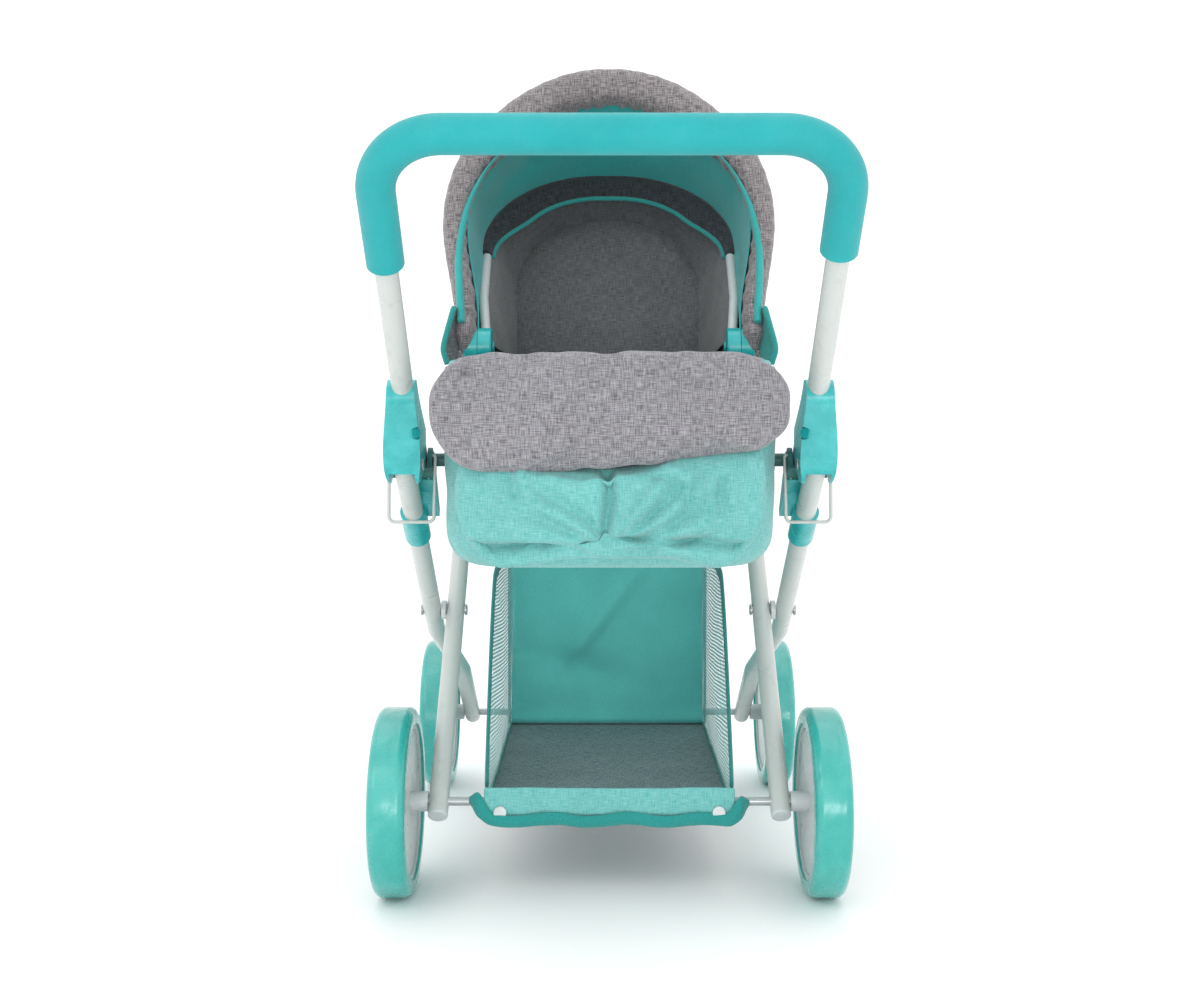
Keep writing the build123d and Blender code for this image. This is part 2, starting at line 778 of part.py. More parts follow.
hood_low_z = cot_rim_z + 8.0
hood_front_low_y = 20.0
hood_front_high_y = 118.0
hood_back_y = cot_far_y + 1.0

# stations from front to back: place, how far in from the full half-width and crown
hood_ribs = [
    (-20.0, 0.0, 0.0),
    (130.0, 0.0, 0.0),
    (215.0, 5.0, 55.0),
    (262.0, 9.0, 83.0),
    (305.0, 13.0, 132.0),
    (hood_back_y, 17.0, hood_crown_z - hood_low_z - 70.0),
]


def hood_rib(y, narrower, lower, inset):
    """Arched section of the hood at one station, or of its hollow when inset."""
    low = hood_low_z - 4 * inset
    height = hood_crown_z - lower - inset - low
    width = 2 * (hood_half_width - narrower - inset)
    face = Rectangle(width, height, align=(Align.CENTER, Align.MIN))
    face = fillet(face.vertices().group_by(Axis.Y)[-1], min(width, height) / 2 - 2)
    plane = Plane(origin=(0, y, low), x_dir=(1, 0, 0), z_dir=(0, -1, 0))
    return plane * face


def hood_canopy():
    """Fabric shell over the bows, open at the front and below."""
    outer = loft([hood_rib(*rib, 0) for rib in hood_ribs], ruled=True)
    hollow = [(-60.0, 0.0, 0.0)] + hood_ribs[1:-1]
    hollow.append((hood_back_y - hood_wall, *hood_ribs[-1][1:]))
    shell = outer - loft([hood_rib(*rib, hood_wall) for rib in hollow], ruled=True)
    mouth = [
        (-100, hood_low_z - 10),
        (hood_front_low_y, hood_low_z - 10),
        (hood_front_high_y, hood_crown_z + 10),
        (-100, hood_crown_z + 10),
    ]
    return shell - side_plate(Polyline(*mouth, close=True), -300, 300)


save("hood_canopy", hood_canopy())


# ---- basket -------------------------------------------------------------------------
near_y0, near_y1 = -9.0, 9.0
near_z0, near_z1 = axle_z - 17.0, axle_z + 13.0
basket_far_y = wheelbase - axle_r - 4.5
basket_mid_y = wheelbase / 2 + 1.0
basket_mid_z = basket_far_top_z - 26.0


def basket():
    """Fabric basket slung between the axles: low near wall, sloping sides, tall far wall."""
    side = [
        (near_y1, near_z1 - 4),
        (basket_mid_y, basket_mid_z),
        (basket_far_y, basket_far_top_z),
        (basket_far_y, basket_floor_z),
        (near_y1, basket_floor_z - 2),
    ]
    body = side_plate(Polyline(*side, close=True), -basket_half_width, basket_half_width)
    hollow = [
        (near_y1 + 0.01, near_z1 + 60),
        (near_y1 + 0.01, basket_floor_z + basket_cloth - 2),
        (basket_far_y - basket_cloth, basket_floor_z + basket_cloth),
        (basket_far_y - basket_cloth, basket_far_top_z + 60),
    ]
    inner = basket_half_width - basket_cloth
    body -= side_plate(Polyline(*hollow, close=True), -inner, inner)
    near = box_between(-basket_near_half, basket_near_half, near_y0, near_y1, near_z0, near_z1)
    near = fillet(near.edges().filter_by(Axis.X), 6.0)
    body += near
    return body - cylinder_x(-300, 300, 0, axle_z, axle_r + 0.5)


save("basket", basket())

snap_x = 87.0
snap_z = axle_z - 6.5


def snap():
    """Round press stud on the basket's near wall."""
    plane = Plane(origin=(snap_x, near_y0 - 0.2, snap_z), z_dir=(0, -1, 0))
    return plane * Cylinder(5.0, 2.2, align=(Align.CENTER, Align.CENTER, Align.MIN))


save_group("basket_snaps", [snap()])

# ---- write every piece --------------------------------------------------------------
for name, shape in nodes.items():
    export_step(Pos(0, -origin_y, 0) * shape, f"parts/{name}.step")
print(len(nodes), "pieces; origin at Y", round(origin_y, 3), "from the rear axle")
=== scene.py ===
from math import cos, pi, radians, sin

import bmesh
import bpy
import numpy as np
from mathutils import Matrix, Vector, noise


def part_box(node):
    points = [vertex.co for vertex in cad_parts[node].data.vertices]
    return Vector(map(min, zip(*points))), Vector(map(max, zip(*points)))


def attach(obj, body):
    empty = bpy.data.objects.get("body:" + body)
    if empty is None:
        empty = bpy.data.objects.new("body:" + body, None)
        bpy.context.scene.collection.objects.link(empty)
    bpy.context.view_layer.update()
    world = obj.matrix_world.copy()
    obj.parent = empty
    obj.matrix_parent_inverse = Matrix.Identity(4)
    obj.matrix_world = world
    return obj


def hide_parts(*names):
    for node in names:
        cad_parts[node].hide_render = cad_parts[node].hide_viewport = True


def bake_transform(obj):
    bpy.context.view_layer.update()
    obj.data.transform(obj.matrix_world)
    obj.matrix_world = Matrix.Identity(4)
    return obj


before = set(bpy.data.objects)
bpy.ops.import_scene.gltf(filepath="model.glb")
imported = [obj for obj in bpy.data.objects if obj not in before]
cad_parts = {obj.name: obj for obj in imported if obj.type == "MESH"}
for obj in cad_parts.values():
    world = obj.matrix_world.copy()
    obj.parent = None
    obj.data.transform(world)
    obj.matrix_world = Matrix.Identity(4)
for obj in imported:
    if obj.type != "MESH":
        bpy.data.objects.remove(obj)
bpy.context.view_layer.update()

# Doll stroller, metres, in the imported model's frame: +Z up, +Y the way it is pushed.


# ---- places read from the frame ------------------------------------------------------
def centre(node):
    low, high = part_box(node)
    return (low + high) / 2


rear_axle = centre("axle_rear")
hood_low, hood_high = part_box("hood_canopy")
cot_low, cot_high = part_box("cot_shell")
cover_low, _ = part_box("foot_cover")
muff_low, muff_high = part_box("foot_muff")
flap_low, flap_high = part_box("cover_flap")
basket_low, basket_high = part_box("basket")
hood_hinge = centre("hood_hinge_pins")


def at(x, y, z):
    """A point given from the rear axle's plane and the floor."""
    return Vector((x, rear_axle.y + y, z))


# ---- materials -----------------------------------------------------------------------
albedo = 0.68


def srgb(r, g, b):
    """Linear colour of an 8-bit display colour."""
    def linear(c):
        c /= 255
        return c / 12.92 if c <= 0.04045 else ((c + 0.055) / 1.055) ** 2.4
    return tuple(albedo * linear(c) for c in (r, g, b)) + (1.0,)


class Nodes:
    """Short way to write a node tree."""

    def __init__(self, name):
        self.material = bpy.data.materials.new(name)
        self.material.use_nodes = True
        self.tree = self.material.node_tree
        self.shader = self.tree.nodes["Principled BSDF"]
        self.coords = self.add("ShaderNodeTexCoord")

    def add(self, kind, **settings):
        node = self.tree.nodes.new(kind)
        for key, value in settings.items():
            setattr(node, key, value)
        return node

    def link(self, output, socket):
        if isinstance(output, bpy.types.NodeSocket):
            self.tree.links.new(output, socket)
        else:
            socket.default_value = output

    def math(self, operation, a, b=0.0, clamp=False):
        node = self.add("ShaderNodeMath", operation=operation, use_clamp=clamp)
        self.link(a, node.inputs[0])
        self.link(b, node.inputs[1])
        return node.outputs[0]

    def noise(self, scale, detail=2.0, roughness=0.55, distortion=0.0):
        """Noise in the object's own space; scale is cells per metre, or one for each axis."""
        stretch = self.add("ShaderNodeMapping")
        stretch.inputs["Scale"].default_value = scale if isinstance(scale, tuple) else (scale,) * 3
        self.link(self.coords.outputs["Object"], stretch.inputs["Vector"])
        node = self.add("ShaderNodeTexNoise")
        settings = (1.0, detail, roughness, distortion)
        for name, number in zip(("Scale", "Detail", "Roughness", "Distortion"), settings):
            node.inputs[name].default_value = number
        self.link(stretch.outputs[0], node.inputs["Vector"])
        return node.outputs["Fac"]

    def ramp(self, value, low, high, to_low=0.0, to_high=1.0):
        node = self.add("ShaderNodeMapRange")
        self.link(value, node.inputs["Value"])
        for name, number in zip(("From Min", "From Max", "To Min", "To Max"), (low, high, to_low, to_high)):
            node.inputs[name].default_value = number
        return node.outputs["Result"]

    def mix(self, share, a, b, blend="MIX"):
        node = self.add("ShaderNodeMix", data_type="RGBA", blend_type=blend)
        self.link(share, node.inputs["Factor"])
        self.link(a, node.inputs[6])
        self.link(b, node.inputs[7])
        return node.outputs[2]

    def bump(self, height, distance, strength=1.0, under=None):
        node = self.add("ShaderNodeBump")
        node.inputs["Strength"].default_value = strength
        node.inputs["Distance"].default_value = distance
        self.link(height, node.inputs["Height"])
        if under is not None:
            self.link(under, node.inputs["Normal"])
        return node.outputs[0]

    def finish(self, colour, roughness, normal, **fixed):
        self.link(colour, self.shader.inputs["Base Color"])
        self.link(roughness, self.shader.inputs["Roughness"])
        self.link(normal, self.shader.inputs["Normal"])
        for key, value in fixed.items():
            self.shader.inputs[key.replace("_", " ")].default_value = value
        return self.material


def cloth(name, dark, light, thread=0.0007, slub=0.0080, contrast=0.13, blotch=0.10):
    """Woven cloth: crossing threads with slubs, uneven dye, small puckers and a soft sheen."""
    n = Nodes(name)
    place, facing = n.add("ShaderNodeSeparateXYZ"), n.add("ShaderNodeSeparateXYZ")
    n.link(n.coords.outputs["Object"], place.inputs[0])
    n.link(n.coords.outputs["Normal"], facing.inputs[0])
    lean = [n.math("ABSOLUTE", facing.outputs[axis]) for axis in range(3)]
    sideways = n.math("GREATER_THAN", lean[0], n.math("MAXIMUM", lean[1], lean[2]))
    level = n.math("GREATER_THAN", lean[2], n.math("MAXIMUM", lean[0], lean[1]))

    def choose(switch, on, off):
        rest = n.math("SUBTRACT", 1.0, switch)
        return n.math("ADD", n.math("MULTIPLY", switch, on), n.math("MULTIPLY", rest, off))
    weft = choose(sideways, place.outputs[1], place.outputs[0])
    warp = choose(level, place.outputs[1], place.outputs[2])
    threads = []
    for across, along in ((1 / slub, 1 / thread), (1 / thread, 1 / slub)):
        flat = n.add("ShaderNodeCombineXYZ")
        n.link(n.math("MULTIPLY", weft, across), flat.inputs[0])
        n.link(n.math("MULTIPLY", warp, along), flat.inputs[1])
        strand = n.add("ShaderNodeTexNoise", noise_dimensions="2D")
        strand.inputs["Scale"].default_value = 1.0
        strand.inputs["Detail"].default_value = 1.5
        n.link(flat.outputs[0], strand.inputs["Vector"])
        threads.append(strand.outputs["Fac"])
    weave_value = n.math("MULTIPLY", n.math("ADD", *threads), 0.5)
    colour = n.mix(n.ramp(weave_value, 0.5 - contrast, 0.5 + contrast), dark, light)
    dye = n.ramp(n.noise(14, detail=3), 0.3, 0.7, 1 - blotch, 1 + blotch / 2)
    shade = n.add("ShaderNodeCombineColor")
    for channel in range(3):
        n.link(dye, shade.inputs[channel])
    colour = n.mix(1.0, colour, shade.outputs[0], "MULTIPLY")
    puckers = n.bump(n.noise(70, detail=3), 0.0012, 0.5)
    normal = n.bump(weave_value, 0.0007, 0.7, puckers)
    roughness = n.ramp(weave_value, 0.3, 0.7, 0.95, 0.78)
    nap = {"Sheen_Weight": 0.25, "Sheen_Roughness": 0.5, "Specular_IOR_Level": 0.25}
    return n.finish(colour, roughness, normal, **nap)


def plastic(name, base, worn, gloss=0.35, coat=0.0):
    """Moulded plastic: fine grain, faint flow marks and paler rubbed edges."""
    n = Nodes(name)
    geometry = n.add("ShaderNodeNewGeometry")
    edge = n.ramp(geometry.outputs["Pointiness"], 0.52, 0.62)
    rubbed = n.math("MULTIPLY", edge, n.ramp(n.noise(90, detail=4), 0.4, 0.7))
    flow = n.ramp(n.noise((25, 25, 60), detail=3), 0.3, 0.7, 0.0, 0.35)
    colour = n.mix(n.math("ADD", rubbed, flow, clamp=True), base, worn)
    normal = n.bump(n.noise(900, detail=2), 0.0002, 0.5)
    roughness = n.ramp(n.noise(120, detail=4), 0.3, 0.7, gloss - 0.06, gloss + 0.08)
    return n.finish(colour, roughness, normal, Coat_Weight=coat, Coat_Roughness=0.15)


def painted(name, base, grime, gloss=0.3, metal=0.0):
    """Stoved paint on a tube: orange peel, a few dull scuffs, slight greying."""
    n = Nodes(name)
    scuffs = n.ramp(n.noise((60, 60, 9), detail=5, roughness=0.7), 0.55, 0.75, 0.0, 0.6)
    colour = n.mix(scuffs, base, grime)
    normal = n.bump(n.noise(420, detail=2), 0.0003, 0.35)
    roughness = n.ramp(n.noise(45, detail=4), 0.3, 0.7, gloss - 0.05, gloss + 0.15)
    return n.finish(colour, roughness, normal, Metallic=metal, Coat_Weight=0.25, Coat_Roughness=0.2)


def dented(name, base, pale):
    """Thin glossy moulding of a tyre, with soft dents that catch the light; its colour pales where the
    dents rise, a painted highlight.
    """
    n = Nodes(name)
    dents = n.noise((38, 26, 26), detail=1.5, distortion=0.6)
    # painted highlight: the dent field that drives the bump also pales the colour on its rises
    colour = n.mix(n.ramp(dents, 0.35, 0.7, 0.0, 0.55), base, pale)
    fine = n.bump(n.noise(600, detail=2), 0.0002, 0.4)
    normal = n.bump(dents, 0.006, 0.6, fine)
    roughness = n.ramp(n.noise(90, detail=4), 0.3, 0.7, 0.17, 0.34)
    return n.finish(colour, roughness, normal, Coat_Weight=0.4, Coat_Roughness=0.12)


def foam(name, base, pale):
    """Closed-cell foam: pores and a bloom of paler skin."""
    n = Nodes(name)
    pores = n.add("ShaderNodeTexVoronoi")
    pores.inputs["Scale"].default_value = 1100
    n.link(n.coords.outputs["Object"], pores.inputs["Vector"])
    bloom = n.ramp(n.noise(20, detail=4), 0.35, 0.7, 0.0, 0.5)
    colour = n.mix(bloom, base, pale)
    skin = n.bump(n.noise(220, detail=3), 0.0003, 0.4)
    normal = n.bump(pores.outputs["Distance"], 0.0003, 0.5, skin)
    roughness = n.ramp(n.noise(60, detail=4), 0.3, 0.7, 0.62, 0.8)
    return n.finish(colour, roughness, normal, Sheen_Weight=0.15)


looks = {
    "grey": cloth("grey_heather", srgb(108, 106, 112), srgb(188, 186, 191), contrast=0.17),
    "rim": cloth("grey_heather_rim", srgb(102, 98, 101), srgb(180, 173, 175)),
    # shaded: a darker copy of the grey heather, painted shade for inner sides that lie out of the light
    "shaded": cloth("painted_shade_grey_heather", srgb(74, 76, 80), srgb(132, 136, 138)),
    "panel": cloth("panel_grey", srgb(92, 95, 99), srgb(142, 145, 148), contrast=0.2, blotch=0.14),
    "floor": cloth("floor_grey", srgb(92, 114, 124), srgb(170, 196, 200)),
    "sleeve": cloth("sleeve_grey", srgb(30, 36, 42), srgb(74, 78, 84)),
    "teal": cloth("teal_heather", srgb(92, 190, 186), srgb(156, 228, 224), contrast=0.24),
    "lining": cloth("teal_lining", srgb(44, 176, 174), srgb(66, 196, 192), 0.0005, 0.002, 0.2),
    # wall: the teal cloth made much brighter, painted light on the basket's far wall, which lies in shade
    # under the cot
    "wall": cloth("teal_wall_painted_light", srgb(116, 248, 240), srgb(146, 255, 250), 0.0005, 0.003, 0.2),
    "binding": cloth("teal_binding", srgb(34, 150, 146), srgb(56, 176, 170), 0.0006, 0.0015, 0.2),
    "net": cloth("white_net", srgb(150, 238, 234), srgb(188, 255, 252), 0.0004, 0.001, 0.2),
    "paint": painted("frame_paint", srgb(226, 232, 228), srgb(196, 206, 200)),
    "rod": painted("rod_paint", srgb(214, 220, 216), srgb(176, 186, 182), gloss=0.28),
    "steel": painted("axle_steel", srgb(198, 204, 204), srgb(160, 168, 168), gloss=0.3, metal=0.6),
    # tyre: its second, paler teal is the painted highlight on the dents
    "tyre": dented("tyre_teal_dent_highlights", srgb(50, 190, 180), srgb(104, 216, 208)),
    "white": plastic("white_plastic", srgb(222, 230, 230), srgb(244, 248, 248), gloss=0.32),
    "plastic": plastic("teal_plastic", srgb(24, 186, 188), srgb(72, 214, 214), gloss=0.3, coat=0.2),
    "dark": plastic("dark_teal_plastic", srgb(8, 96, 94), srgb(30, 128, 124), gloss=0.4),
    "foam": foam("grip_foam", srgb(4, 178, 182), srgb(30, 198, 202)),
    "board": plastic("board", srgb(96, 84, 70), srgb(130, 116, 98), gloss=0.6),
}


def paint(obj, *names):
    """Gives a piece its materials, in slot order."""
    obj.data.materials.clear()
    for name in names:
        obj.data.materials.append(looks[name])
    return obj


# ---- mesh helpers --------------------------------------------------------------------
def new_object(name, vertices, faces, *materials):
    mesh = bpy.data.meshes.new(name)
    mesh.from_pydata([tuple(v) for v in vertices], [], [tuple(f) for f in faces])
    mesh.validate()
    obj = bpy.data.objects.new(name, mesh)
    bpy.context.scene.collection.objects.link(obj)
    mesh.polygons.foreach_set("use_smooth", [True] * len(mesh.polygons))
    return paint(obj, *materials)


def grid_faces(rows, columns, wrap=False):
    """Quads between neighbouring rows of points; wrap joins the last column to the first."""
    faces = []
    for r in range(rows - 1):
        for c in range(columns if wrap else columns - 1):
            here, beside = r * columns + c, r * columns + (c + 1) % columns
            faces.append((here, beside, beside + columns, here + columns))
    return faces


def grid_object(name, points, *materials, wrap=False):
    rows, columns = points.shape[:2]
    return new_object(name, points.reshape(-1, 3), grid_faces(rows, columns, wrap), *materials)


def unit(v):
    return v / np.maximum(np.linalg.norm(v, axis=-1, keepdims=True), 1e-12)


def surface_normals(points):
    """Unit normals of a grid of points."""
    return unit(np.cross(np.gradient(points, axis=0), np.gradient(points, axis=1)))


def ripple(points, scale, seed=0.0):
    """Smooth noise from -1 to 1 at each point; scale is waves per metre."""
    flat = points.reshape(-1, 3) * scale + seed
    return np.array([noise.noise(Vector(p)) for p in flat]).reshape(points.shape[:-1])


def relaxed(points, times):
    """Rows and columns of a grid evened out, with its border held."""
    p = points.copy()
    for _ in range(times):
        p[1:-1, 1:-1] = (p[1:-1, 1:-1] * 2 + p[:-2, 1:-1] + p[2:, 1:-1] + p[1:-1, :-2] + p[1:-1, 2:]) / 6
        for side in (0, -1):
            p[1:-1, side] = (p[1:-1, side] * 2 + p[:-2, side] + p[2:, side]) / 4
    return p


def smooth_step(value, low, high):
    t = np.clip((value - low) / (high - low), 0, 1)
    return t * t * (3 - 2 * t)


def bell(value, middle, width):
    return np.exp(-(((value - middle) / width) ** 2))


def thicken(obj, thickness, offset=-1.0, inner=0):
    """Gives a sheet its thickness; inner steps the material slot of its far side."""
    shell = obj.modifiers.new("thickness", "SOLIDIFY")
    shell.thickness = thickness
    shell.offset = offset
    shell.material_offset = inner
    return obj


def soften(obj):
    smooth = obj.modifiers.new("smooth", "SUBSURF")
    smooth.levels = smooth.render_levels = 1
    return obj


def between(front, rear, rows):
    """Rows of points from one edge to another."""
    return np.array([front * (1 - t) + rear * t for t in np.linspace(0, 1, rows)])


def sweep(name, path, across, section, *materials, loop=False):
    """A closed tube along a path. section(share) gives its (side, across) offsets there."""
    path = np.array(path, float)
    if loop:
        tangent = unit(np.roll(path, -1, axis=0) - np.roll(path, 1, axis=0))
    else:
        tangent = unit(np.gradient(path, axis=0))
    across = np.broadcast_to(np.array(across, float), path.shape)
    side = unit(np.cross(tangent, across))
    up = np.cross(side, tangent)
    rings = []
    for k, share in enumerate(np.linspace(0, 1, len(path))):
        outline = np.array(section(share))
        rings.append(path[k] + outline[:, :1] * side[k] + outline[:, 1:] * up[k])
    rings = np.array(rings)
    if loop:
        rings = np.concatenate([rings, rings[:1]])
    obj = grid_object(name, rings, *materials, wrap=True)
    if loop:
        weld(obj)
    else:
        cap_ends(obj, len(path), rings.shape[1])
    return obj


def cap_ends(obj, rows, columns):
    """Closes both ends of a tube."""
    bm = bmesh.new()
    bm.from_mesh(obj.data)
    bm.verts.ensure_lookup_table()
    bm.faces.new([bm.verts[k] for k in range(columns)])
    bm.faces.new([bm.verts[(rows - 1) * columns + k] for k in reversed(range(columns))])
    bmesh.ops.recalc_face_normals(bm, faces=bm.faces)
    bm.to_mesh(obj.data)
    bm.free()


def weld(obj, distance=1e-5):
    """Joins points that lie on each other and turns the faces one way."""
    bm = bmesh.new()
    bm.from_mesh(obj.data)
    bmesh.ops.remove_doubles(bm, verts=bm.verts, dist=distance)
    bmesh.ops.recalc_face_normals(bm, faces=bm.faces)
    bm.to_mesh(obj.data)
    bm.free()
    return obj


def around(sides):
    """Angles evenly round a section."""
    return np.linspace(0, 2 * pi, sides, endpoint=False)


def squared(value, power):
    """A sine or cosine pressed towards a square wave."""
    return np.sign(value) * np.abs(value) ** power


def piping(name, path, radius, material, across=(0, 1, 0), loop=False):
    """A round cord along a path."""
    turns = around(8)

    def section(_):
        return radius * np.stack([np.cos(turns), np.sin(turns)], axis=1)
    return soften(sweep(name, path, across, section, material, loop=loop))


def set_slots(obj, index):
    """Gives each face of a grid its material slot."""
    obj.data.polygons.foreach_set("material_index", index.ravel().astype(np.int32))


def vertices_of(obj, what="co"):
    out = np.empty(len(obj.data.vertices) * 3)
    obj.data.vertices.foreach_get(what, out)
    return out.reshape(-1, 3)


def set_vertices(obj, co):
    obj.data.vertices.foreach_set("co", np.asarray(co, float).ravel())
    obj.data.update()


def normals_of(obj):
    return vertices_of(obj, "normal")


# ---- padded pieces -------------------------------------------------------------------
def apply_modifiers(obj):
    depsgraph = bpy.context.evaluated_depsgraph_get()
    mesh = bpy.data.meshes.new_from_object(obj.evaluated_get(depsgraph))
    obj.modifiers.clear()
    old = obj.data
    obj.data = mesh
    bpy.data.meshes.remove(old)
    mesh.polygons.foreach_set("use_smooth", [True] * len(mesh.polygons))


def pad_from(node, name, material, shape=None, shrink=0.0015, voxel=0.005, cap=0.008, rounds=1):
    """A stuffed piece in the place of a CAD node: remeshed, swelled as cloth, then rounded."""
    obj = bpy.data.objects.new(name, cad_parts[node].data.copy())
    bpy.context.scene.collection.objects.link(obj)
    obj.matrix_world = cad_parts[node].matrix_world.copy()
    bpy.context.view_layer.update()
    obj.data.transform(obj.matrix_world)
    obj.matrix_world.identity()
    remesh = obj.modifiers.new("remesh", "REMESH")
    remesh.mode = "VOXEL"
    remesh.voxel_size = voxel
    apply_modifiers(obj)
    set_vertices(obj, vertices_of(obj) - normals_of(obj) * shrink)
    if shape is not None:
        set_vertices(obj, shape(vertices_of(obj)))
    swell(obj, cap)
    for _ in range(rounds):
        apply_modifiers(soften(obj))
    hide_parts(node)
    return paint(obj, material)


def swell(obj, cap):
    """Twenty steps of cloth under inner pressure, with each point's move capped."""
    scene = bpy.context.scene
    rest = vertices_of(obj)
    fabric = obj.modifiers.new("fabric", "CLOTH")
    fabric.settings.use_pressure = True
    fabric.settings.uniform_pressure_force = 4.0
    fabric.settings.effector_weights.gravity = 0.0
    fabric.settings.quality = 5
    fabric.point_cache.frame_start = 1
    fabric.point_cache.frame_end = 20
    for step in range(1, 21):
        scene.frame_set(step)
    depsgraph = bpy.context.evaluated_depsgraph_get()
    mesh = bpy.data.meshes.new_from_object(obj.evaluated_get(depsgraph))
    moved = np.empty(len(mesh.vertices) * 3)
    mesh.vertices.foreach_get("co", moved)
    obj.modifiers.clear()
    scene.frame_set(1)
    shift = moved.reshape(-1, 3) - rest
    length = np.linalg.norm(shift, axis=1, keepdims=True)
    set_vertices(obj, rest + shift * np.minimum(1, cap / np.maximum(length, 1e-9)))
    bpy.data.meshes.remove(mesh)


def press(obj, depth_at):
    """Moves each point along its normal by depth_at(points, normals)."""
    co, normals = vertices_of(obj), normals_of(obj)
    set_vertices(obj, co + normals * depth_at(co, normals)[:, None])
    return obj


# ---- hard parts: the CAD nodes with their finishes -----------------------------------
# a name that ends in _ stands for its left and right nodes
finish_of = {
    "paint": "rear_leg_ front_leg_ handle_tube",
    "rod": "seat_frame wire_bail_",
    "steel": "axle_front axle_rear pivot_bolts hinge_pins",
    "white": "rim_rear_ rim_front_ axle_caps_front axle_caps_rear front_leg_plugs rear_leg_plugs "
             "handle_plugs basket_snaps hood_front_bow hood_rear_bow pivot_spacers",
    "tyre": "tyre_rear_ tyre_front_",
    "plastic": "hinge_housing_ leg_boot_ release_button_ hood_hinge_base_ hood_hinge_disc_ "
               "hood_hinge_pins cot_fitting_",
    "dark": "cot_cradle_",
    "foam": "handle_grip",
    "board": "base_board",
}
for finish, names in finish_of.items():
    for name in names.split():
        for node in (name + "left", name + "right") if name.endswith("_") else (name,):
            paint(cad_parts[node], finish)


# ---- hood ----------------------------------------------------------------------------
canopy_half = hood_high.x
canopy_crown = hood_high.z
canopy_foot = hood_low.z
canopy_back = hood_high.y
canopy_front = hood_low.y
crown_front = rear_axle.y + 0.118
rib_y = rear_axle.y + np.array([-0.02, 0.13, 0.215, 0.262, 0.305, canopy_back - rear_axle.y])
rib_half = canopy_half - np.array([0, 0, 0.005, 0.009, 0.013, 0.017])
rib_crown = canopy_crown - np.array([0, 0, 0.055, 0.083, 0.132, 0.185])


def round_arch(share, half, corner, reach):
    """x and rise round an arch with two round corners, from its left foot to its right foot."""
    post, bend, lid = reach - corner, corner * pi / 2, 2 * (half - corner)
    s = share * (2 * post + 2 * bend + lid)
    turn = np.clip((s - post) / bend, 0, 1) * pi / 2
    back = np.clip((s - post - bend - lid) / bend, 0, 1) * pi / 2
    x = -half + corner * (1 - np.cos(turn)) + np.clip(s - post - bend, 0, lid) + corner * np.sin(back)
    rise = np.clip(s, 0, post) + corner * np.sin(turn) - corner * (1 - np.cos(back))
    return x, rise - np.clip(s - post - 2 * bend - lid, 0, post)


def arch(share, half, crown):
    """x and z round the hood's section."""
    height = crown - canopy_foot
    x, rise = round_arch(share, half, np.minimum(2 * half, height) / 2 - 0.002, height)
    return x, canopy_foot + rise


def edge_y(z):
    """The hood's front edge leans back towards its crown."""
    return canopy_front + (z - canopy_foot) * (crown_front - canopy_front) / (canopy_crown - canopy_foot)


def drawn_in(points):
    """The hood's front feet are drawn in towards the cot, and its crown is peaked."""
    low = smooth_step(points[..., 2], canopy_foot + 0.115, canopy_foot + 0.025)
    ahead = smooth_step(points[..., 1] - rear_axle.y, 0.14, 0.05)
    out = points.copy()
    out[..., 0] -= np.sign(points[..., 0]) * 0.0115 * low * ahead
    high = smooth_step(points[..., 2], canopy_crown - 0.10, canopy_crown - 0.05)
    near_rim = smooth_step(points[..., 1] - rear_axle.y, 0.24, 0.15)
    out[..., 2] -= (0.0020 + 0.0045 * smooth_step(np.abs(points[..., 0]), 0.0, 0.10)) * high * near_rim
    return out


cloth_start = 0.012
hood_columns, hood_rows, hood_closing = 121, 60, 14


def hood_points():
    share = np.linspace(0, 1, hood_columns)
    _, front_z = arch(share, np.full(hood_columns, canopy_half), np.full(hood_columns, canopy_crown))
    start = edge_y(front_z) + cloth_start
    rows = []
    for v in np.linspace(0, 1, hood_rows):
        y = start + (canopy_back - start) * v
        half = np.interp(y, rib_y, rib_half)
        crown = np.interp(y, rib_y, rib_crown)
        x, z = arch(share, half, crown)
        rows.append(np.stack([x, y, z], axis=1))
    last = rows[-1]
    for k in range(1, hood_closing + 1):
        shrink = 1 - k / hood_closing
        ring = last.copy()
        ring[:, 0] *= shrink
        ring[:, 2] = canopy_foot + (last[:, 2] - canopy_foot) * shrink
        ring[:, 1] += 0.004 * sin(pi * (1 - shrink) / 2)
        rows.append(ring)
    return drawn_in(relaxed(np.array(rows), 14))


def hood_surface():
    """Hood cloth with its pull between the bows, gathers at the rim and slack low down."""
    points = hood_points()
    out = surface_normals(points)
    middle = np.array([0, rear_axle.y + 0.15, 0.5])
    out *= np.sign((out * (points - middle)).sum(-1, keepdims=True).mean())
    along = np.linspace(0, 1, hood_columns)[None, :] * 0.66
    from_edge = points[:, :, 1] - edge_y(points[:, :, 2])
    sag = -0.0055 * np.sin(pi * np.clip((from_edge - 0.03) / 0.10, 0, 1))
    sag = sag - 0.004 * np.sin(pi * np.clip((from_edge - 0.13) / 0.16, 0, 1))
    wander = ripple(points, 26, 3.0)
    fading = np.exp(-np.clip(from_edge - cloth_start, 0, 1) / 0.020)
    gathers = 0.0008 * np.sin(along * 2 * pi / 0.017 + 2.5 * wander) * fading
    low_down = smooth_step(points[:, :, 2], 0.66, 0.5)
    tension = 0.0016 * ripple(points * np.array([1.0, 0.3, 1.0]), 45, 7.0) * low_down
    slack = 0.0022 * ripple(points, 14, 11.0) * smooth_step(from_edge, 0.012, 0.05)
    slack = slack - 0.0012 - 0.0032 * bell(from_edge, cloth_start, 0.014)
    back = smooth_step(points[:, :, 1], canopy_back - 0.03, canopy_back)
    lift = (sag + gathers + tension) * (1 - 0.8 * back) + slack
    return points + out * lift[:, :, None], from_edge


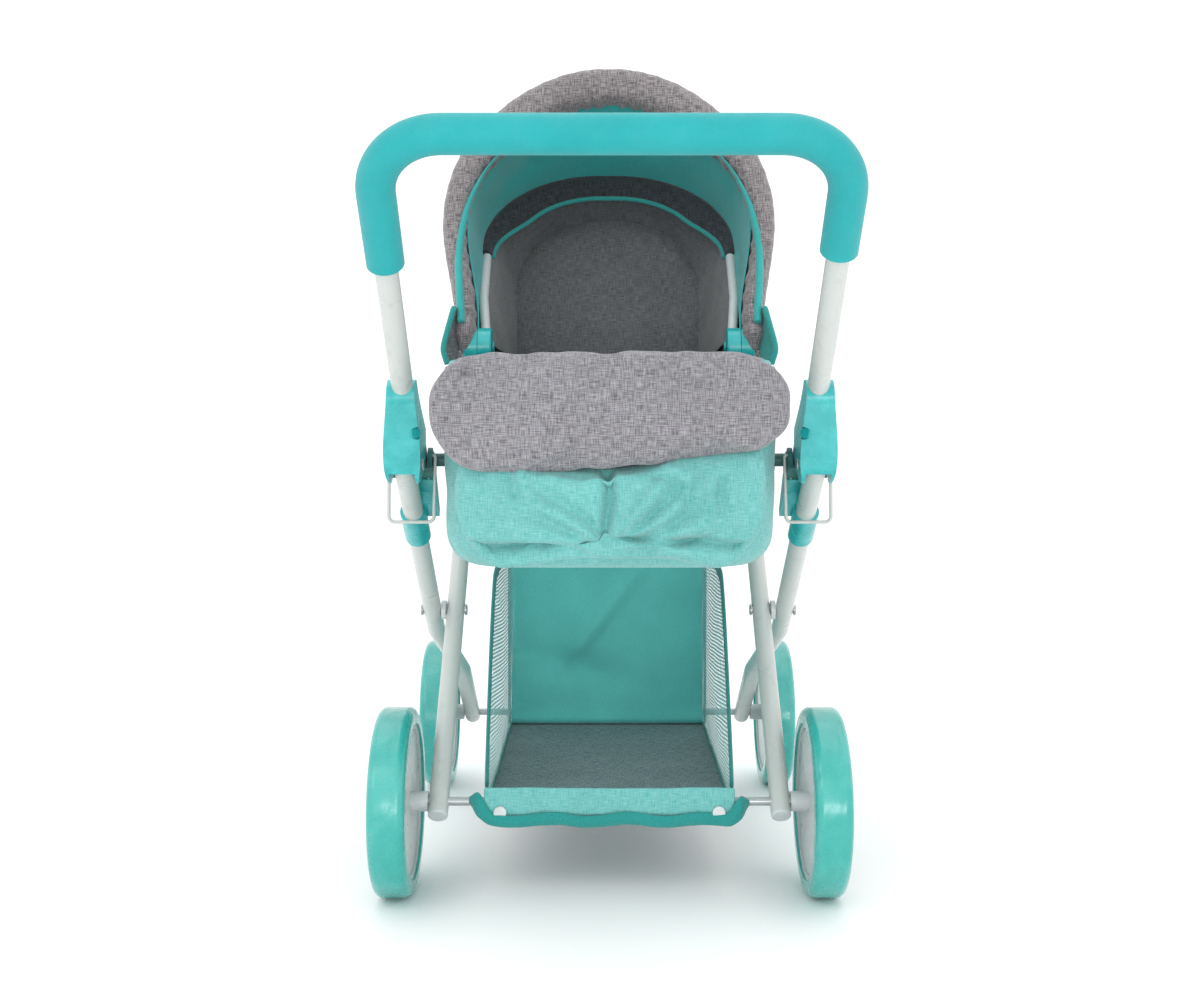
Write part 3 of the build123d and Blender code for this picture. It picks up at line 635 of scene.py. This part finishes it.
def make_hood():
    points, from_edge = hood_surface()
    hood = grid_object("hood_cloth", points, "grey", "lining", "grey", "shaded")
    # Faces behind the rear bow and the first rows at the front edge get the 'shaded' inner side: painted
    # shade inside the hood.
    painted_shade_inside = (points[:-1, :-1, 1] - hood_hinge.y) > (points[:-1, :-1, 2] - hood_hinge.z) * 1.02
    painted_shade_inside[:6] = True
    set_slots(hood, np.where(painted_shade_inside, 2, 0))
    weld(hood)
    middle = Vector((0, hood_hinge.y + 0.1, 0.55))
    top = max(hood.data.polygons, key=lambda f: f.center.z)
    if top.normal.dot(top.center - middle) < 0:
        hood.data.flip_normals()
    thicken(hood, 0.0035, inner=1)
    soften(hood)
    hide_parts("hood_canopy")
    return hood


def edge_path(count, inset, back, start=0.0, end=1.0):
    """Points along the hood's front edge, inset towards its middle and set back."""
    share = np.linspace(start, end, count)
    x, z = arch(share, np.full(count, canopy_half - inset), np.full(count, canopy_crown - inset))
    edge = np.stack([x, edge_y(z) + back, z], axis=1)
    return drawn_in(edge)


rim_depth = 0.0155
rim_reach = 0.020


def make_rim():
    """Gathered, padded edge of the hood, round the front bow."""
    count = 260
    path = edge_path(count, rim_depth + 0.0022, rim_reach - 0.006)
    turns = around(28)
    length = 0.64

    def section(share):
        near_foot = min(share, 1 - share)
        narrow = 0.60 + 0.40 * float(smooth_step(near_foot, 0.12, 0.36))
        shut = 0.35 + 0.65 * min(1.0, near_foot / 0.02)
        where = share * length
        wander = noise.noise(Vector((where * 40, 2.0, 0.0)))
        pinch = sin(where * 2 * pi / 0.0155 + 3.0 * wander)
        fine = sin(where * 2 * pi / 0.0068 + 4.0 * wander)
        tuck = 0.22 * float(bell(share, 0.513, 0.0045)) + 0.12 * float(bell(share, 0.42, 0.004))
        inner = np.clip(-np.cos(turns), 0, 1)
        swell_by = 1 + (0.012 + 0.09 * inner) * pinch + 0.012 * fine - tuck * inner
        lump = 1 + 0.05 * noise.noise(Vector((where * 16, 9.0, 4.0)))
        side = rim_depth * narrow * shut * lump * squared(np.cos(turns), 0.75)
        deep = rim_reach * shut * squared(np.sin(turns), 0.85)
        return np.stack([side * swell_by, deep * (1 + 0.03 * pinch)], axis=1)

    across = np.array([0, 1, 0.0])
    rim = sweep("hood_rim", path, across, section, "rim")
    co = vertices_of(rim)
    level_side = smooth_step(co[:, 2], canopy_foot + 0.20, canopy_foot + 0.10)
    co[:, 0] += np.sign(co[:, 0]) * 0.0065 * level_side
    set_vertices(rim, co)
    return soften(rim)


def make_trim(name, start, end):
    """Teal strip down one side of the rim's inner edge, flaring towards the side wing."""
    co = edge_path(80, 2 * rim_depth + 0.0005, 0.008, start, end)
    foot = smooth_step(co[:, 2], canopy_foot + 0.20, canopy_foot + 0.035)
    co[:, 0] += np.sign(co[:, 0]) * 0.0225 * foot
    co[:, 1] -= 0.016 * foot
    turns = around(12)

    def section(share):
        low_down = share if start > 0.5 else 1 - share
        wide = 0.0010 + 0.0024 * float(smooth_step(low_down, 0.0, 0.5))
        return np.stack([wide * np.cos(turns), 0.0050 * np.sin(turns)], axis=1)
    return soften(sweep(f"hood_trim_{name}", co, (0, 1, 0), section, "lining"))


def make_wing(side, name):
    """Side wing at the hood's foot: a folded triangle of cloth with a piped edge."""
    corners = np.array([
        at(side * 0.1245, 0.022, 0.472), at(side * 0.1330, 0.010, 0.4370), at(side * 0.1290, 0.010, 0.4240),
    ])
    inner = np.array([
        at(side * 0.1225, 0.036, 0.470), at(side * 0.1215, 0.036, 0.4480), at(side * 0.1225, 0.032, 0.4290),
    ])

    def along(line, k):
        return line[0] * (1 - k) + line[1] * k if k <= 1 else line[1] * (2 - k) + line[2] * (k - 1)
    rows = [
        [along(corners, k) * (1 - t) + along(inner, k) * t for t in np.linspace(0, 1, 9)]
        for k in np.linspace(0, 2, 15)
    ]
    points = relaxed(np.array(rows), 2)
    # The wing's far side takes the 'shaded' dark grey: painted shade.
    wing = grid_object(f"hood_wing_{name}", points, "binding", "shaded")
    thicken(wing, 0.0016, inner=1, offset=0.0)
    soften(wing)
    edge = piping(f"hood_wing_piping_{name}", points[:, 0], 0.0026, "binding")
    return wing, edge


def bow_path(half, corner, reach, count=90, start=0.10):
    """Points round a bow's arch, in its plane through the hood's hinge line."""
    x, rise = round_arch(np.linspace(start, 1 - start, count), half, corner, reach)
    way = np.array([0, cos(rear_bow_lean), sin(rear_bow_lean)])
    return np.array([0, hood_hinge.y, hood_hinge.z]) + np.outer(x, [1, 0, 0]) + np.outer(rise, way)


rear_bow_lean = radians(45.0)
_, rear_bow_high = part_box("hood_rear_bow")
rear_bow_reach = (rear_bow_high.z - hood_hinge.z) / sin(rear_bow_lean) - 0.006
sleeve_drop = 0.026


def make_sleeve():
    """Dark band of cloth on the rear bow, hanging inside the hood, with a piped edge."""
    path = bow_path(rear_bow_high.x - 0.004, 0.098, rear_bow_reach, start=0.20)
    turns = around(24)

    def section(share):
        near_end = min(share, 1 - share)
        drop = sleeve_drop * (0.25 + 0.75 * float(smooth_step(near_end, 0.0, 0.22)))
        wobble = 0.0008 * noise.noise(Vector((share * 30, 1.0, 6.0)))
        side = np.where(np.cos(turns) > 0, np.cos(turns) * (0.0058 + wobble), np.cos(turns) * drop)
        taper = np.where(np.cos(turns) > 0, 1.0, 1 - 0.62 * np.abs(np.cos(turns)))
        return np.stack([-side, 0.0060 * np.sin(turns) * taper], axis=1)

    across = (0, -sin(rear_bow_lean), cos(rear_bow_lean))
    sleeve = soften(sweep("hood_bow_sleeve", path, across, section, "sleeve"))
    radial = unit(path - (np.array(hood_hinge) * [0, 1, 1] + np.array([0, 0.075, 0.075])))
    share = np.linspace(0, 1, len(path))
    near_end = np.minimum(share, 1 - share)
    drop = sleeve_drop * (0.25 + 0.75 * smooth_step(near_end, 0.0, 0.22)) - 0.001
    edge = piping("hood_sleeve_piping", path - radial * drop[:, None], 0.0022, "binding")
    return sleeve, edge


def make_lining():
    """Inner cloth from the rim's inner edge back to the rear bow."""
    count, rows = 121, 34
    front = edge_path(count, 2 * rim_depth - 0.009, 0.006, 0.02, 0.98)
    rear = bow_path(rear_bow_high.x - 0.001, 0.098, rear_bow_reach + 0.0035, count, 0.03)
    points = between(front, rear, rows)
    share_back = np.linspace(0, 1, rows)[:, None]
    out = surface_normals(points)
    out *= np.sign(out[rows // 2, count // 2, 2])
    pull = 0.0035 * np.sin(pi * share_back) * (0.4 + ripple(points, 22, 8.0))
    creases = 0.0013 * ripple(points * np.array([1.0, 0.35, 1.0]), 60, 14.0) * np.sin(pi * share_back)
    points = points + out * (pull + creases)[:, :, None]
    lining = thicken(grid_object("hood_lining", points, "lining"), 0.0012, offset=0.0)
    return soften(lining)


def make_curtain():
    """Grey cloth from the sleeve's inner edge back to the backrest's edge."""
    count, rows = 101, 20
    front = bow_path(rear_bow_high.x - 0.007, 0.094, rear_bow_reach - 0.012, count, 0.02)
    back_low, back_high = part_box("backrest")
    rear = front * np.array([0.80, 1, 1])
    lower = (back_high.z - 0.022 - back_low.z) / (front[:, 2].max() - back_low.z)
    rear[:, 2] = back_low.z + (front[:, 2] - back_low.z) * lower
    rise = (rear[:, 2] - back_low.z) / (back_high.z - back_low.z)
    rear[:, 1] = back_low.y + 0.008 + (back_high.y - 0.014 - back_low.y) * rise
    points = between(front, rear, rows)
    points += surface_normals(points) * (0.0025 * ripple(points, 30, 21.0))[:, :, None]
    return soften(thicken(grid_object("hood_curtain", points, "panel"), 0.0012, offset=0.0))


both_sides = ((-1, "left"), (1, "right"))
hood = make_hood()
lining = make_lining()
curtain = make_curtain()
rim = make_rim()
trims = [make_trim("left", 0.045, 0.31), make_trim("right", 0.69, 0.955)]
sleeve, sleeve_piping = make_sleeve()
wings = [part for side, name in both_sides for part in make_wing(side, name)]


# ---- cot: tub of cloth, foot cover, muff, flap and pads --------------------------------
def plan(count, half, y0, y1, corner):
    """Rounded rectangle seen from above, anticlockwise from the middle of its right side."""
    straight_y, straight_x = (y1 - y0) / 2 - corner, half - corner
    quarter = corner * pi / 2
    side_by_side = [quarter, 2 * straight_x, quarter]
    ends = np.cumsum([0, straight_y] + side_by_side + [2 * straight_y] + side_by_side + [straight_y])
    middle = (y0 + y1) / 2
    hubs = [(a * straight_x, b * straight_y) for a, b in ((1, 1), (-1, 1), (-1, -1), (1, -1))]
    out = []
    for s in np.linspace(0, ends[-1], count, endpoint=False):
        k = int(np.searchsorted(ends, s, side="right")) - 1
        t = (s - ends[k])
        if k % 2 == 1:
            angle = (k // 2) * pi / 2 + t / corner
            hub = hubs[k // 2]
            out.append((hub[0] + corner * cos(angle), middle + hub[1] + corner * sin(angle)))
        elif k in (0, 8):
            out.append((half, middle + (t if k == 0 else t - straight_y)))
        elif k == 2:
            out.append((straight_x - t, y1))
        elif k == 4:
            out.append((-half, middle + straight_y - t))
        else:
            out.append((-straight_x + t, y0))
    return np.array(out)


cot_corner = 0.058
cot_ring = 200
cot_cloth = 0.006


def cot_level(z, inset):
    corner = max(0.012, cot_corner - inset)
    xy = plan(cot_ring, cot_high.x - inset, cot_low.y + inset, cot_high.y - inset, corner)
    return np.column_stack([xy, np.full(cot_ring, z)])


def make_cot():
    """Cloth tub: outer wall, rolled rim, lining and floor, with slack between its seams."""
    deep = 0.024
    levels = [(cot_low.z, k) for k in (0.110, 0.085, 0.060, 0.040)]
    levels += [(cot_low.z + deep * (1 - cos(a)), deep * (1 - sin(a))) for a in np.linspace(0, pi / 2, 7)]
    levels += [(z, 0.0) for z in np.linspace(cot_low.z + deep + 0.006, cot_high.z - 0.004, 18)]
    outer_levels = len(levels)
    levels += [(cot_high.z, 0.0015), (cot_high.z + 0.0005, 0.003), (cot_high.z, 0.0045)]
    levels += [(z, cot_cloth) for z in np.linspace(cot_high.z - 0.004, cot_low.z + 0.03, 12)]
    levels += [(cot_low.z + 0.012, 0.012), (cot_low.z + cot_cloth, 0.024)]
    levels += [(cot_low.z + cot_cloth, k) for k in (0.045, 0.070, 0.110)]
    points = np.array([cot_level(z, k) for z, k in levels])
    normals = surface_normals(points)
    middle = np.array([0, (cot_low.y + cot_high.y) / 2, (cot_low.z + cot_high.z) / 2])
    outer = (np.arange(len(levels)) < outer_levels)[:, None]
    away = np.sign((normals * (points - middle)).sum(-1, keepdims=True))
    height = np.clip((points[:, :, 2] - cot_low.z) / (cot_high.z - cot_low.z), 0, 1)
    belly = 0.0026 * np.sin(pi * height) ** 0.7
    fitting = centre("cot_fitting_right")
    clear = 1 - bell(np.hypot(points[:, :, 1] - fitting.y, points[:, :, 2] - fitting.z), 0.0, 0.022)
    slack = 0.0022 * ripple(points * np.array([1, 1, 1.6]), 22, 5.0) * np.sin(pi * height)
    drag = 0.0009 * ripple(points * np.array([1, 1, 0.35]), 75, 8.0) * smooth_step(height, 0.75, 1.0)
    lift = (belly + slack + drag) * clear * outer
    points = points + normals * away * lift[:, :, None]
    cot = grid_object("cot_cloth", points, "teal", "lining", wrap=True)
    inside = np.repeat(np.arange(len(levels) - 1) >= outer_levels, cot_ring)
    set_slots(cot, inside)
    cap_ends(cot, len(levels), cot_ring)
    soften(cot)
    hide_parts("cot_shell")
    edge = cot_level(cot_high.z - 0.006, -0.0005)
    return cot, piping("cot_piping_rim", edge, 0.0023, "binding", (0, 0, 1), loop=True)


def make_muff():
    """Bulging end of the foot cover, gathered to a centre seam and a seam low down."""
    def fill_out(co):
        """Squarer under the flap, rounder below."""
        out = co.copy()
        corner = 0.026
        down = np.clip(co[:, 2] - (muff_high.z - corner), 0, corner * 0.97)
        given = muff_high.x - corner + np.sqrt(corner ** 2 - down ** 2)
        out[:, 0] *= muff_high.x / given
        up = np.clip((muff_low.z + 0.070 - co[:, 2]) / 0.070, 0, 1)
        out[:, 0] *= 1 - 0.21 * up ** 2.2 * np.clip(np.abs(co[:, 0]) / muff_high.x, 0, 1) ** 2
        under = smooth_step(co[:, 2], muff_high.z - 0.035, muff_high.z - 0.004)
        out[:, 2] += (0.010 + 0.010 * smooth_step(co[:, 0], -0.02, 0.10)) * under
        out[:, 1] += 0.005 * under
        return out
    muff = pad_from("foot_muff", "muff_pad", "teal", shape=fill_out, shrink=0.002, cap=0.008, rounds=2)
    seam_z = muff_low.z + 0.022
    # each crease: where it starts, its bearing in degrees, its length, depth and half-width
    creases = (
        (0.003, 0.004, 38, 0.085, 0.0050, 0.0048), (0.006, 0.001, 22, 0.100, 0.0042, 0.0046),
        (0.010, -0.004, 5, 0.095, 0.0040, 0.0045), (-0.003, 0.004, 146, 0.080, 0.0042, 0.0050),
        (-0.008, 0.001, 163, 0.100, 0.0036, 0.0046), (0.030, 0.050, -40, 0.050, 0.0034, 0.0044),
        (-0.070, 0.052, -65, 0.045, 0.0032, 0.0046), (0.084, 0.050, -110, 0.050, 0.0036, 0.0044),
        (-0.012, -0.006, 182, 0.095, 0.0032, 0.0042), (0.052, 0.046, -78, 0.040, 0.0026, 0.0040),
    )

    def folds(co, normals):
        front = smooth_step(-normals[:, 1], -0.1, 0.6)
        x, z = co[:, 0], co[:, 2]
        above = smooth_step(z, seam_z - 0.006, seam_z + 0.004)
        seam = bell(x + 0.002 - 0.0015 * np.sin(z * 120), 0.0, 0.0040) * above
        low_line = seam_z + 0.003 * np.sin(x * 34) - 0.10 * np.abs(x) ** 1.35
        depth = -0.0100 * seam - 0.0085 * bell(z, low_line, 0.0040)
        for x0, dz, bearing, length, deep, wide in creases:
            way = (cos(radians(bearing)), sin(radians(bearing)))
            along = ((x - x0) * way[0] + (z - seam_z - dz) * way[1]) / length
            across = (z - seam_z - dz) * way[0] - (x - x0) * way[1]
            across = across + 0.004 * np.sin(along * 5.0 + x0 * 90)
            reach = smooth_step(along, -0.08, 0.16) * smooth_step(along, 1.0, 0.45)
            width = wide * (0.75 + 0.8 * np.clip(along, 0, 1))
            fold = -1.1 * bell(across, 0.0, 0.8 * width) + 0.8 * bell(across, 1.8 * width, width)
            depth += reach * deep * fold
        crumple = 0.0020 * ripple(co * np.array([1, 1, 1.5]), 34, 9.0) + 0.0009 * ripple(co, 90, 2.0)
        return (depth + crumple) * front + 0.0010 * (1 - front) * ripple(co, 28, 1.0)
    return press(muff, folds)


def make_flap():
    """Folded-back flap: padded, with soft rounded ends, a seam near its left end and a tuck."""
    middle_z = (flap_low.z + flap_high.z) / 2

    def lens(co):
        out = co.copy()
        end = np.clip((np.abs(co[:, 0]) - 0.085) / 0.045, 0, 1) ** 2
        low = co[:, 2] < middle_z
        out[:, 2] += np.where(low, 0.016, -0.010) * end * np.abs(co[:, 2] - middle_z) / 0.04
        part = np.abs(co[:, 2] - middle_z) / 0.04
        top = 0.0060 * bell(co[:, 0], 0.0, 0.06) + 0.0030 * bell(np.abs(co[:, 0]), 0.098, 0.030)
        foot = -0.005 + 0.013 * smooth_step(co[:, 0], -0.02, 0.10)
        out[:, 2] += np.where(low, foot, top) * (1 - end) * part
        return out
    flap = pad_from("cover_flap", "flap_pad", "grey", shape=lens, shrink=0.002, cap=0.007, rounds=2)

    def folds(co, normals):
        x, z = co[:, 0], co[:, 2]
        front = smooth_step(-normals[:, 1], 0.0, 0.6)
        tuck = -0.006 * bell(x, -0.1010, 0.004) * bell(z, flap_high.z - 0.013, 0.0035)
        pulls = 0.0005 * np.sin((x + 0.6 * (z - middle_z)) * 2 * pi / 0.034 + 2.4 * ripple(co, 24, 4.0))
        pulls *= smooth_step(np.abs(z - middle_z), 0.012, 0.034)
        seam = -0.0015 * bell(np.abs(x) - 0.112 + 0.3 * (z - middle_z), 0.0, 0.0018)
        soft = 0.0034 * ripple(co, 13, 6.0) + 0.0009 * ripple(co, 60, 7.0)
        return (tuck + seam) * front + pulls + soft
    return press(flap, folds)


def make_cover():
    """Lid of the foot cover across the near part of the opening."""
    def settle(co):
        out = co.copy()
        out[:, 2] = cover_low.z + (co[:, 2] - cover_low.z) * 0.40 - 0.002
        return out
    cover = pad_from("foot_cover", "cover_pad", "grey", shape=settle, shrink=0.001, voxel=0.004, cap=0.002)

    def folds(co, normals):
        top = smooth_step(normals[:, 2], 0.1, 0.7)
        channel = -0.0014 * bell(np.mod(co[:, 1] - cover_low.y, 0.031), 0.0155, 0.0022)
        return (channel + 0.0010 * ripple(co, 26, 2.0)) * top
    return press(cover, folds)


def make_backrest():
    pad = pad_from("backrest", "backrest_pad", "panel", shrink=0.0015, cap=0.005)

    def folds(co, normals):
        front = smooth_step(-normals[:, 1], 0.1, 0.7)
        return (0.0020 * ripple(co, 16, 3.0) + 0.0008 * ripple(co, 48, 12.0)) * front
    return press(pad, folds)


def make_mattress():
    pad = pad_from("mattress", "mattress_pad", "lining", shrink=0.0012, voxel=0.0045, cap=0.004)
    low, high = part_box("mattress")

    def folds(co, normals):
        top = smooth_step(normals[:, 2], 0.2, 0.8)
        rows = bell(np.mod(co[:, 1] - low.y, 0.06), 0.03, 0.003)
        lines = bell(np.mod(co[:, 0] + 0.12, 0.06), 0.03, 0.003)
        return (-0.0024 * np.maximum(rows, lines) + 0.0012 * ripple(co, 20, 2.0)) * top
    return press(pad, folds)


cot, cot_piping = make_cot()
muff = make_muff()
flap = make_flap()
cover = make_cover()
backrest = make_backrest()
mattress = make_mattress()


# ---- basket ----------------------------------------------------------------------------
basket_half = 0.100
near_half = basket_high.x
near_y = basket_low.y
near_top = 0.088
floor_z = 0.064
far_y = basket_high.y - 0.001
far_top = basket_high.z
mid_y, mid_top = 0.190, 0.236
cell = 0.0034
net_hole = 0.46


def side_half(y):
    """Half-width of the basket's top edge along its length."""
    return basket_half + 0.006 * np.sin(pi * np.clip(y / 0.37, 0, 1)) - 0.002


def side_top(y):
    """Height of the basket's side along its length, from the rear axle."""
    straight = np.interp(y, [0.009, mid_y, far_y - rear_axle.y], [near_top - 0.006, mid_top, far_top])
    return straight - 0.010 * np.sin(pi * np.clip((y - 0.009) / (mid_y - 0.009), 0, 1)) ** 2


def make_basket():
    """One strip of cloth: near wall, floor and far wall."""
    columns = 61
    far = far_y - rear_axle.y
    route = [(-0.0085, z) for z in np.linspace(near_top, floor_z + 0.004, 8)]
    bends = np.linspace(0.3, pi / 2, 5)
    route += [(-0.0085 + 0.012 * (1 - cos(a)), floor_z + 0.004 - 0.005 * sin(a)) for a in bends]
    route += [(y, floor_z) for y in np.linspace(0.012, far - 0.012, 34)]
    route += [(far - 0.008 * cos(a), floor_z + 0.008 * (1 - sin(a))) for a in np.linspace(pi / 2, 0, 5)]
    route += [(far, z) for z in np.linspace(floor_z + 0.016, far_top, 26)]
    rows = []
    for y, z in route:
        half = basket_half + (near_half - 0.012 - basket_half) * float(smooth_step(-y, -0.02, 0.0))
        half += 0.004 * float(smooth_step(z, 0.10, 0.25)) * float(y > 0.3)
        rows.append([(x, rear_axle.y + y, z) for x in np.linspace(-half, half, columns)])
    points = np.array(rows)
    share_x = points[:, :, 0] / basket_half
    y, z = points[:, :, 1] - rear_axle.y, points[:, :, 2]
    on_floor = smooth_step(y, 0.01, 0.06) * smooth_step(y, far - 0.005, far - 0.05) * (z < 0.08)
    points[:, :, 2] -= 0.004 * on_floor * (1 - share_x ** 2)
    points[:, :, 2] += 0.0016 * on_floor * ripple(points, 30, 3.0)
    on_wall = smooth_step(z, floor_z + 0.004, floor_z + 0.03) * (y > 0.3)
    diagonal = (z - 0.17) - 1.25 * (points[:, :, 0] + 0.012)
    fold = -0.0130 * bell(diagonal, 0.0, 0.013) * bell(z, 0.175, 0.045)
    across = points[:, :, 0]
    drape = 0.0100 * bell(z - 0.118 + 0.25 * across, 0.0, 0.014) * bell(across, -0.035, 0.05)
    billow = -0.006 * np.sin(pi * np.clip((z - floor_z) / (far_top - floor_z), 0, 1)) * (1 - share_x ** 2)
    points[:, :, 1] += (fold + drape + billow + 0.003 * ripple(points, 18, 2.0)) * on_wall
    on_near = (y < 0).astype(float)
    points[:, :, 1] += 0.0012 * ripple(points, 40, 5.0) * on_near
    points[0, :, 2] += 0.0012 * ripple(points[0], 30, 6.0)
    basket = grid_object("basket_cloth", points, "teal", "floor", "wall")
    row_mid = (points[:-1, :-1] + points[1:, 1:]) / 2
    is_near = row_mid[:, :, 1] < rear_axle.y + 0.010
    # The far wall takes 'wall', a brightened teal: painted light on a wall that lies in the cot's shadow.
    is_far = (row_mid[:, :, 1] > far_y - 0.020) & (row_mid[:, :, 2] > floor_z + 0.003)
    set_slots(basket, np.where(is_near, 0, np.where(is_far, 2, 1)))
    weld(basket, 1e-6)
    thicken(basket, 0.0014, offset=0.0)
    soften(basket)
    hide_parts("basket")
    return basket


def make_net(side, name):
    """Knitted net of six-sided cells in the basket's side."""
    far = far_y - rear_axle.y - 0.002
    vertices, faces, seen = [], [], {}

    def lay(y, z):
        key = (round(y, 6), round(z, 6))
        if key not in seen:
            share = np.clip((y - 0.009) / (far - 0.009), 0, 1)
            height = max(side_top(y) - floor_z, 0.01)
            up = np.clip((z - floor_z) / height, 0, 1)
            inward = 0.010 * sin(pi * share) * sin(pi * min(1.0, up))
            inward += 0.0012 * noise.noise(Vector((y * 40, z * 40, side)))
            half = basket_half + (float(side_half(y)) - basket_half) * up
            seen[key] = len(vertices)
            vertices.append(at(side * (half - inward), y, z))
        return seen[key]

    pitch_z = cell * 0.866
    rows = int((far_top - floor_z) / pitch_z)
    for r in range(rows):
        z0 = floor_z + 0.002 + r * pitch_z
        shift = cell / 2 if r % 2 else 0.0
        for c in range(int((far - 0.012) / cell)):
            y0 = 0.012 + shift + c * cell
            if z0 > side_top(y0) - 0.002 or y0 > far - cell / 2:
                continue
            corners = [(sin(k * pi / 3) * cell / 1.732, cos(k * pi / 3) * cell / 1.732) for k in range(6)]
            outer = [lay(y0 + a, z0 + b) for a, b in corners]
            inner = [lay(y0 + a * net_hole, z0 + b * net_hole) for a, b in corners]
            faces += [(outer[k], outer[(k + 1) % 6], inner[(k + 1) % 6], inner[k]) for k in range(6)]
    return new_object(f"basket_net_{name}", vertices, faces, "net")


def ribbon(name, path, outward, width, thick, material):
    """Folded binding tape along an edge."""
    turns = around(12)

    def section(_):
        return np.stack([thick * np.cos(turns), width * squared(np.sin(turns), 0.7)], axis=1)
    return soften(sweep(name, path, outward, section, material))


def make_bindings(side, name):
    far = far_y - rear_axle.y
    top = [at(side * (side_half(y) + 0.0005), y, side_top(y)) for y in np.linspace(0.010, far - 0.002, 60)]
    low = [at(side * basket_half, y, floor_z + 0.001) for y in np.linspace(0.010, far - 0.002, 40)]
    post = [at(side * (basket_half + 0.002), far - 0.002, z) for z in np.linspace(floor_z, far_top, 30)]
    return [
        ribbon(f"basket_binding_top_{name}", top, (0, 0.3, 1), 0.0062, 0.0018, "binding"),
        ribbon(f"basket_binding_low_{name}", low, (0, 0, 1), 0.0034, 0.0014, "binding"),
        ribbon(f"basket_binding_post_{name}", post, (0, 1, 0), 0.0040, 0.0015, "binding"),
    ]


def make_hem():
    """Wavy hem of the near wall, wider round its two corners."""
    columns, rows = 121, 9
    xs = np.linspace(-near_half, near_half, columns)
    end = smooth_step(np.abs(xs), 0.092, 0.106)
    wander = np.array([noise.noise(Vector((x * 55, 0.0, 3.0))) for x in xs])
    wave = 0.0016 * np.sin(xs * 2 * pi / 0.061) + 0.001 * wander
    top = 0.0675 + wave + end * (near_top - 0.004 - 0.0675)
    low = 0.0575 + 0.7 * wave + 0.006 * end ** 2
    tip = smooth_step(np.abs(xs), 0.104, near_half)
    top = top - 0.006 * tip
    low = low + 0.010 * tip
    points = []
    for t in np.linspace(0, 1, rows):
        z = low + (top - low) * t
        y = -0.0100 - 0.0022 * np.sin(pi * t) - 0.0006 * np.sin(xs * 2 * pi / 0.03) + 0.008 * tip
        points.append(np.stack([xs, rear_axle.y + y, z], axis=1))
    return thicken(grid_object("basket_hem", np.array(points), "binding"), 0.0016, offset=0.0)


basket = make_basket()
nets = [make_net(side, name) for side, name in both_sides]
bindings = [part for side, name in both_sides for part in make_bindings(side, name)]
hem = soften(make_hem())


# ---- what rides on what ------------------------------------------------------------------
for piece in [hood, lining, *wings]:
    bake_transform(piece)
for piece in (rim, *trims):
    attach(piece, "hood_bow")
for piece in [sleeve, sleeve_piping, curtain, cot, cot_piping, muff, flap, cover, backrest, mattress]:
    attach(piece, "front_frame")
for piece in [basket, *nets, *bindings]:
    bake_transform(piece)
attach(hem, "rear_frame")


# ---- floor, light, camera ------------------------------------------------------------------
def add_floor():
    reach = 14.0
    corners = [(-reach, -reach, 0), (reach, -reach, 0), (reach, reach, 0), (-reach, reach, 0)]
    floor = new_object("studio_floor", corners, [(0, 1, 2, 3)])
    n = Nodes("studio_white")
    speck = n.ramp(n.noise(3), 0.3, 0.7, 0.94, 0.97)
    tone = n.add("ShaderNodeCombineColor")
    for channel in range(3):
        n.link(speck, tone.inputs[channel])
    normal = n.bump(n.noise(200), 0.0001, 0.1)
    floor.data.materials.append(n.finish(tone.outputs[0], 0.9, normal))


def add_light(name, place, aim, size, power):
    light = bpy.data.lights.new(name, "AREA")
    light.shape = "RECTANGLE"
    light.size, light.size_y = size
    light.energy = power
    lamp = bpy.data.objects.new(name, light)
    lamp.location = place
    lamp.rotation_euler = (Vector(aim) - Vector(place)).to_track_quat("-Z", "Y").to_euler()
    bpy.context.scene.collection.objects.link(lamp)


def add_camera():
    camera = bpy.data.cameras.new("camera")
    camera.lens = 45.0
    camera.sensor_width = 36.0
    camera.clip_end = 60
    eye = bpy.data.objects.new("camera", camera)
    eye.location = (-0.0075, -1.2804, 0.3748)
    eye.rotation_euler = (radians(90 - 2.8), 0, 0)
    bpy.context.scene.collection.objects.link(eye)
    bpy.context.scene.camera = eye


def set_world():
    world = bpy.data.worlds.new("studio")
    world.use_nodes = True
    background = world.node_tree.nodes["Background"]
    background.inputs["Color"].default_value = (1, 1, 1, 1)
    background.inputs["Strength"].default_value = 1.22
    bpy.context.scene.world = world
    bpy.context.scene.view_settings.view_transform = "Standard"


add_floor()
add_light("key", (-1.4, -2.2, 2.2), (0, 0, 0.35), (1.6, 1.6), 11)
add_light("front", (0.2, -2.6, 0.30), (0, 0, 0.15), (1.4, 0.5), 13)
add_light("top", (0, 0.4, 2.8), (0, 0.1, 0.2), (2.2, 2.2), 12)
add_camera()
set_world()
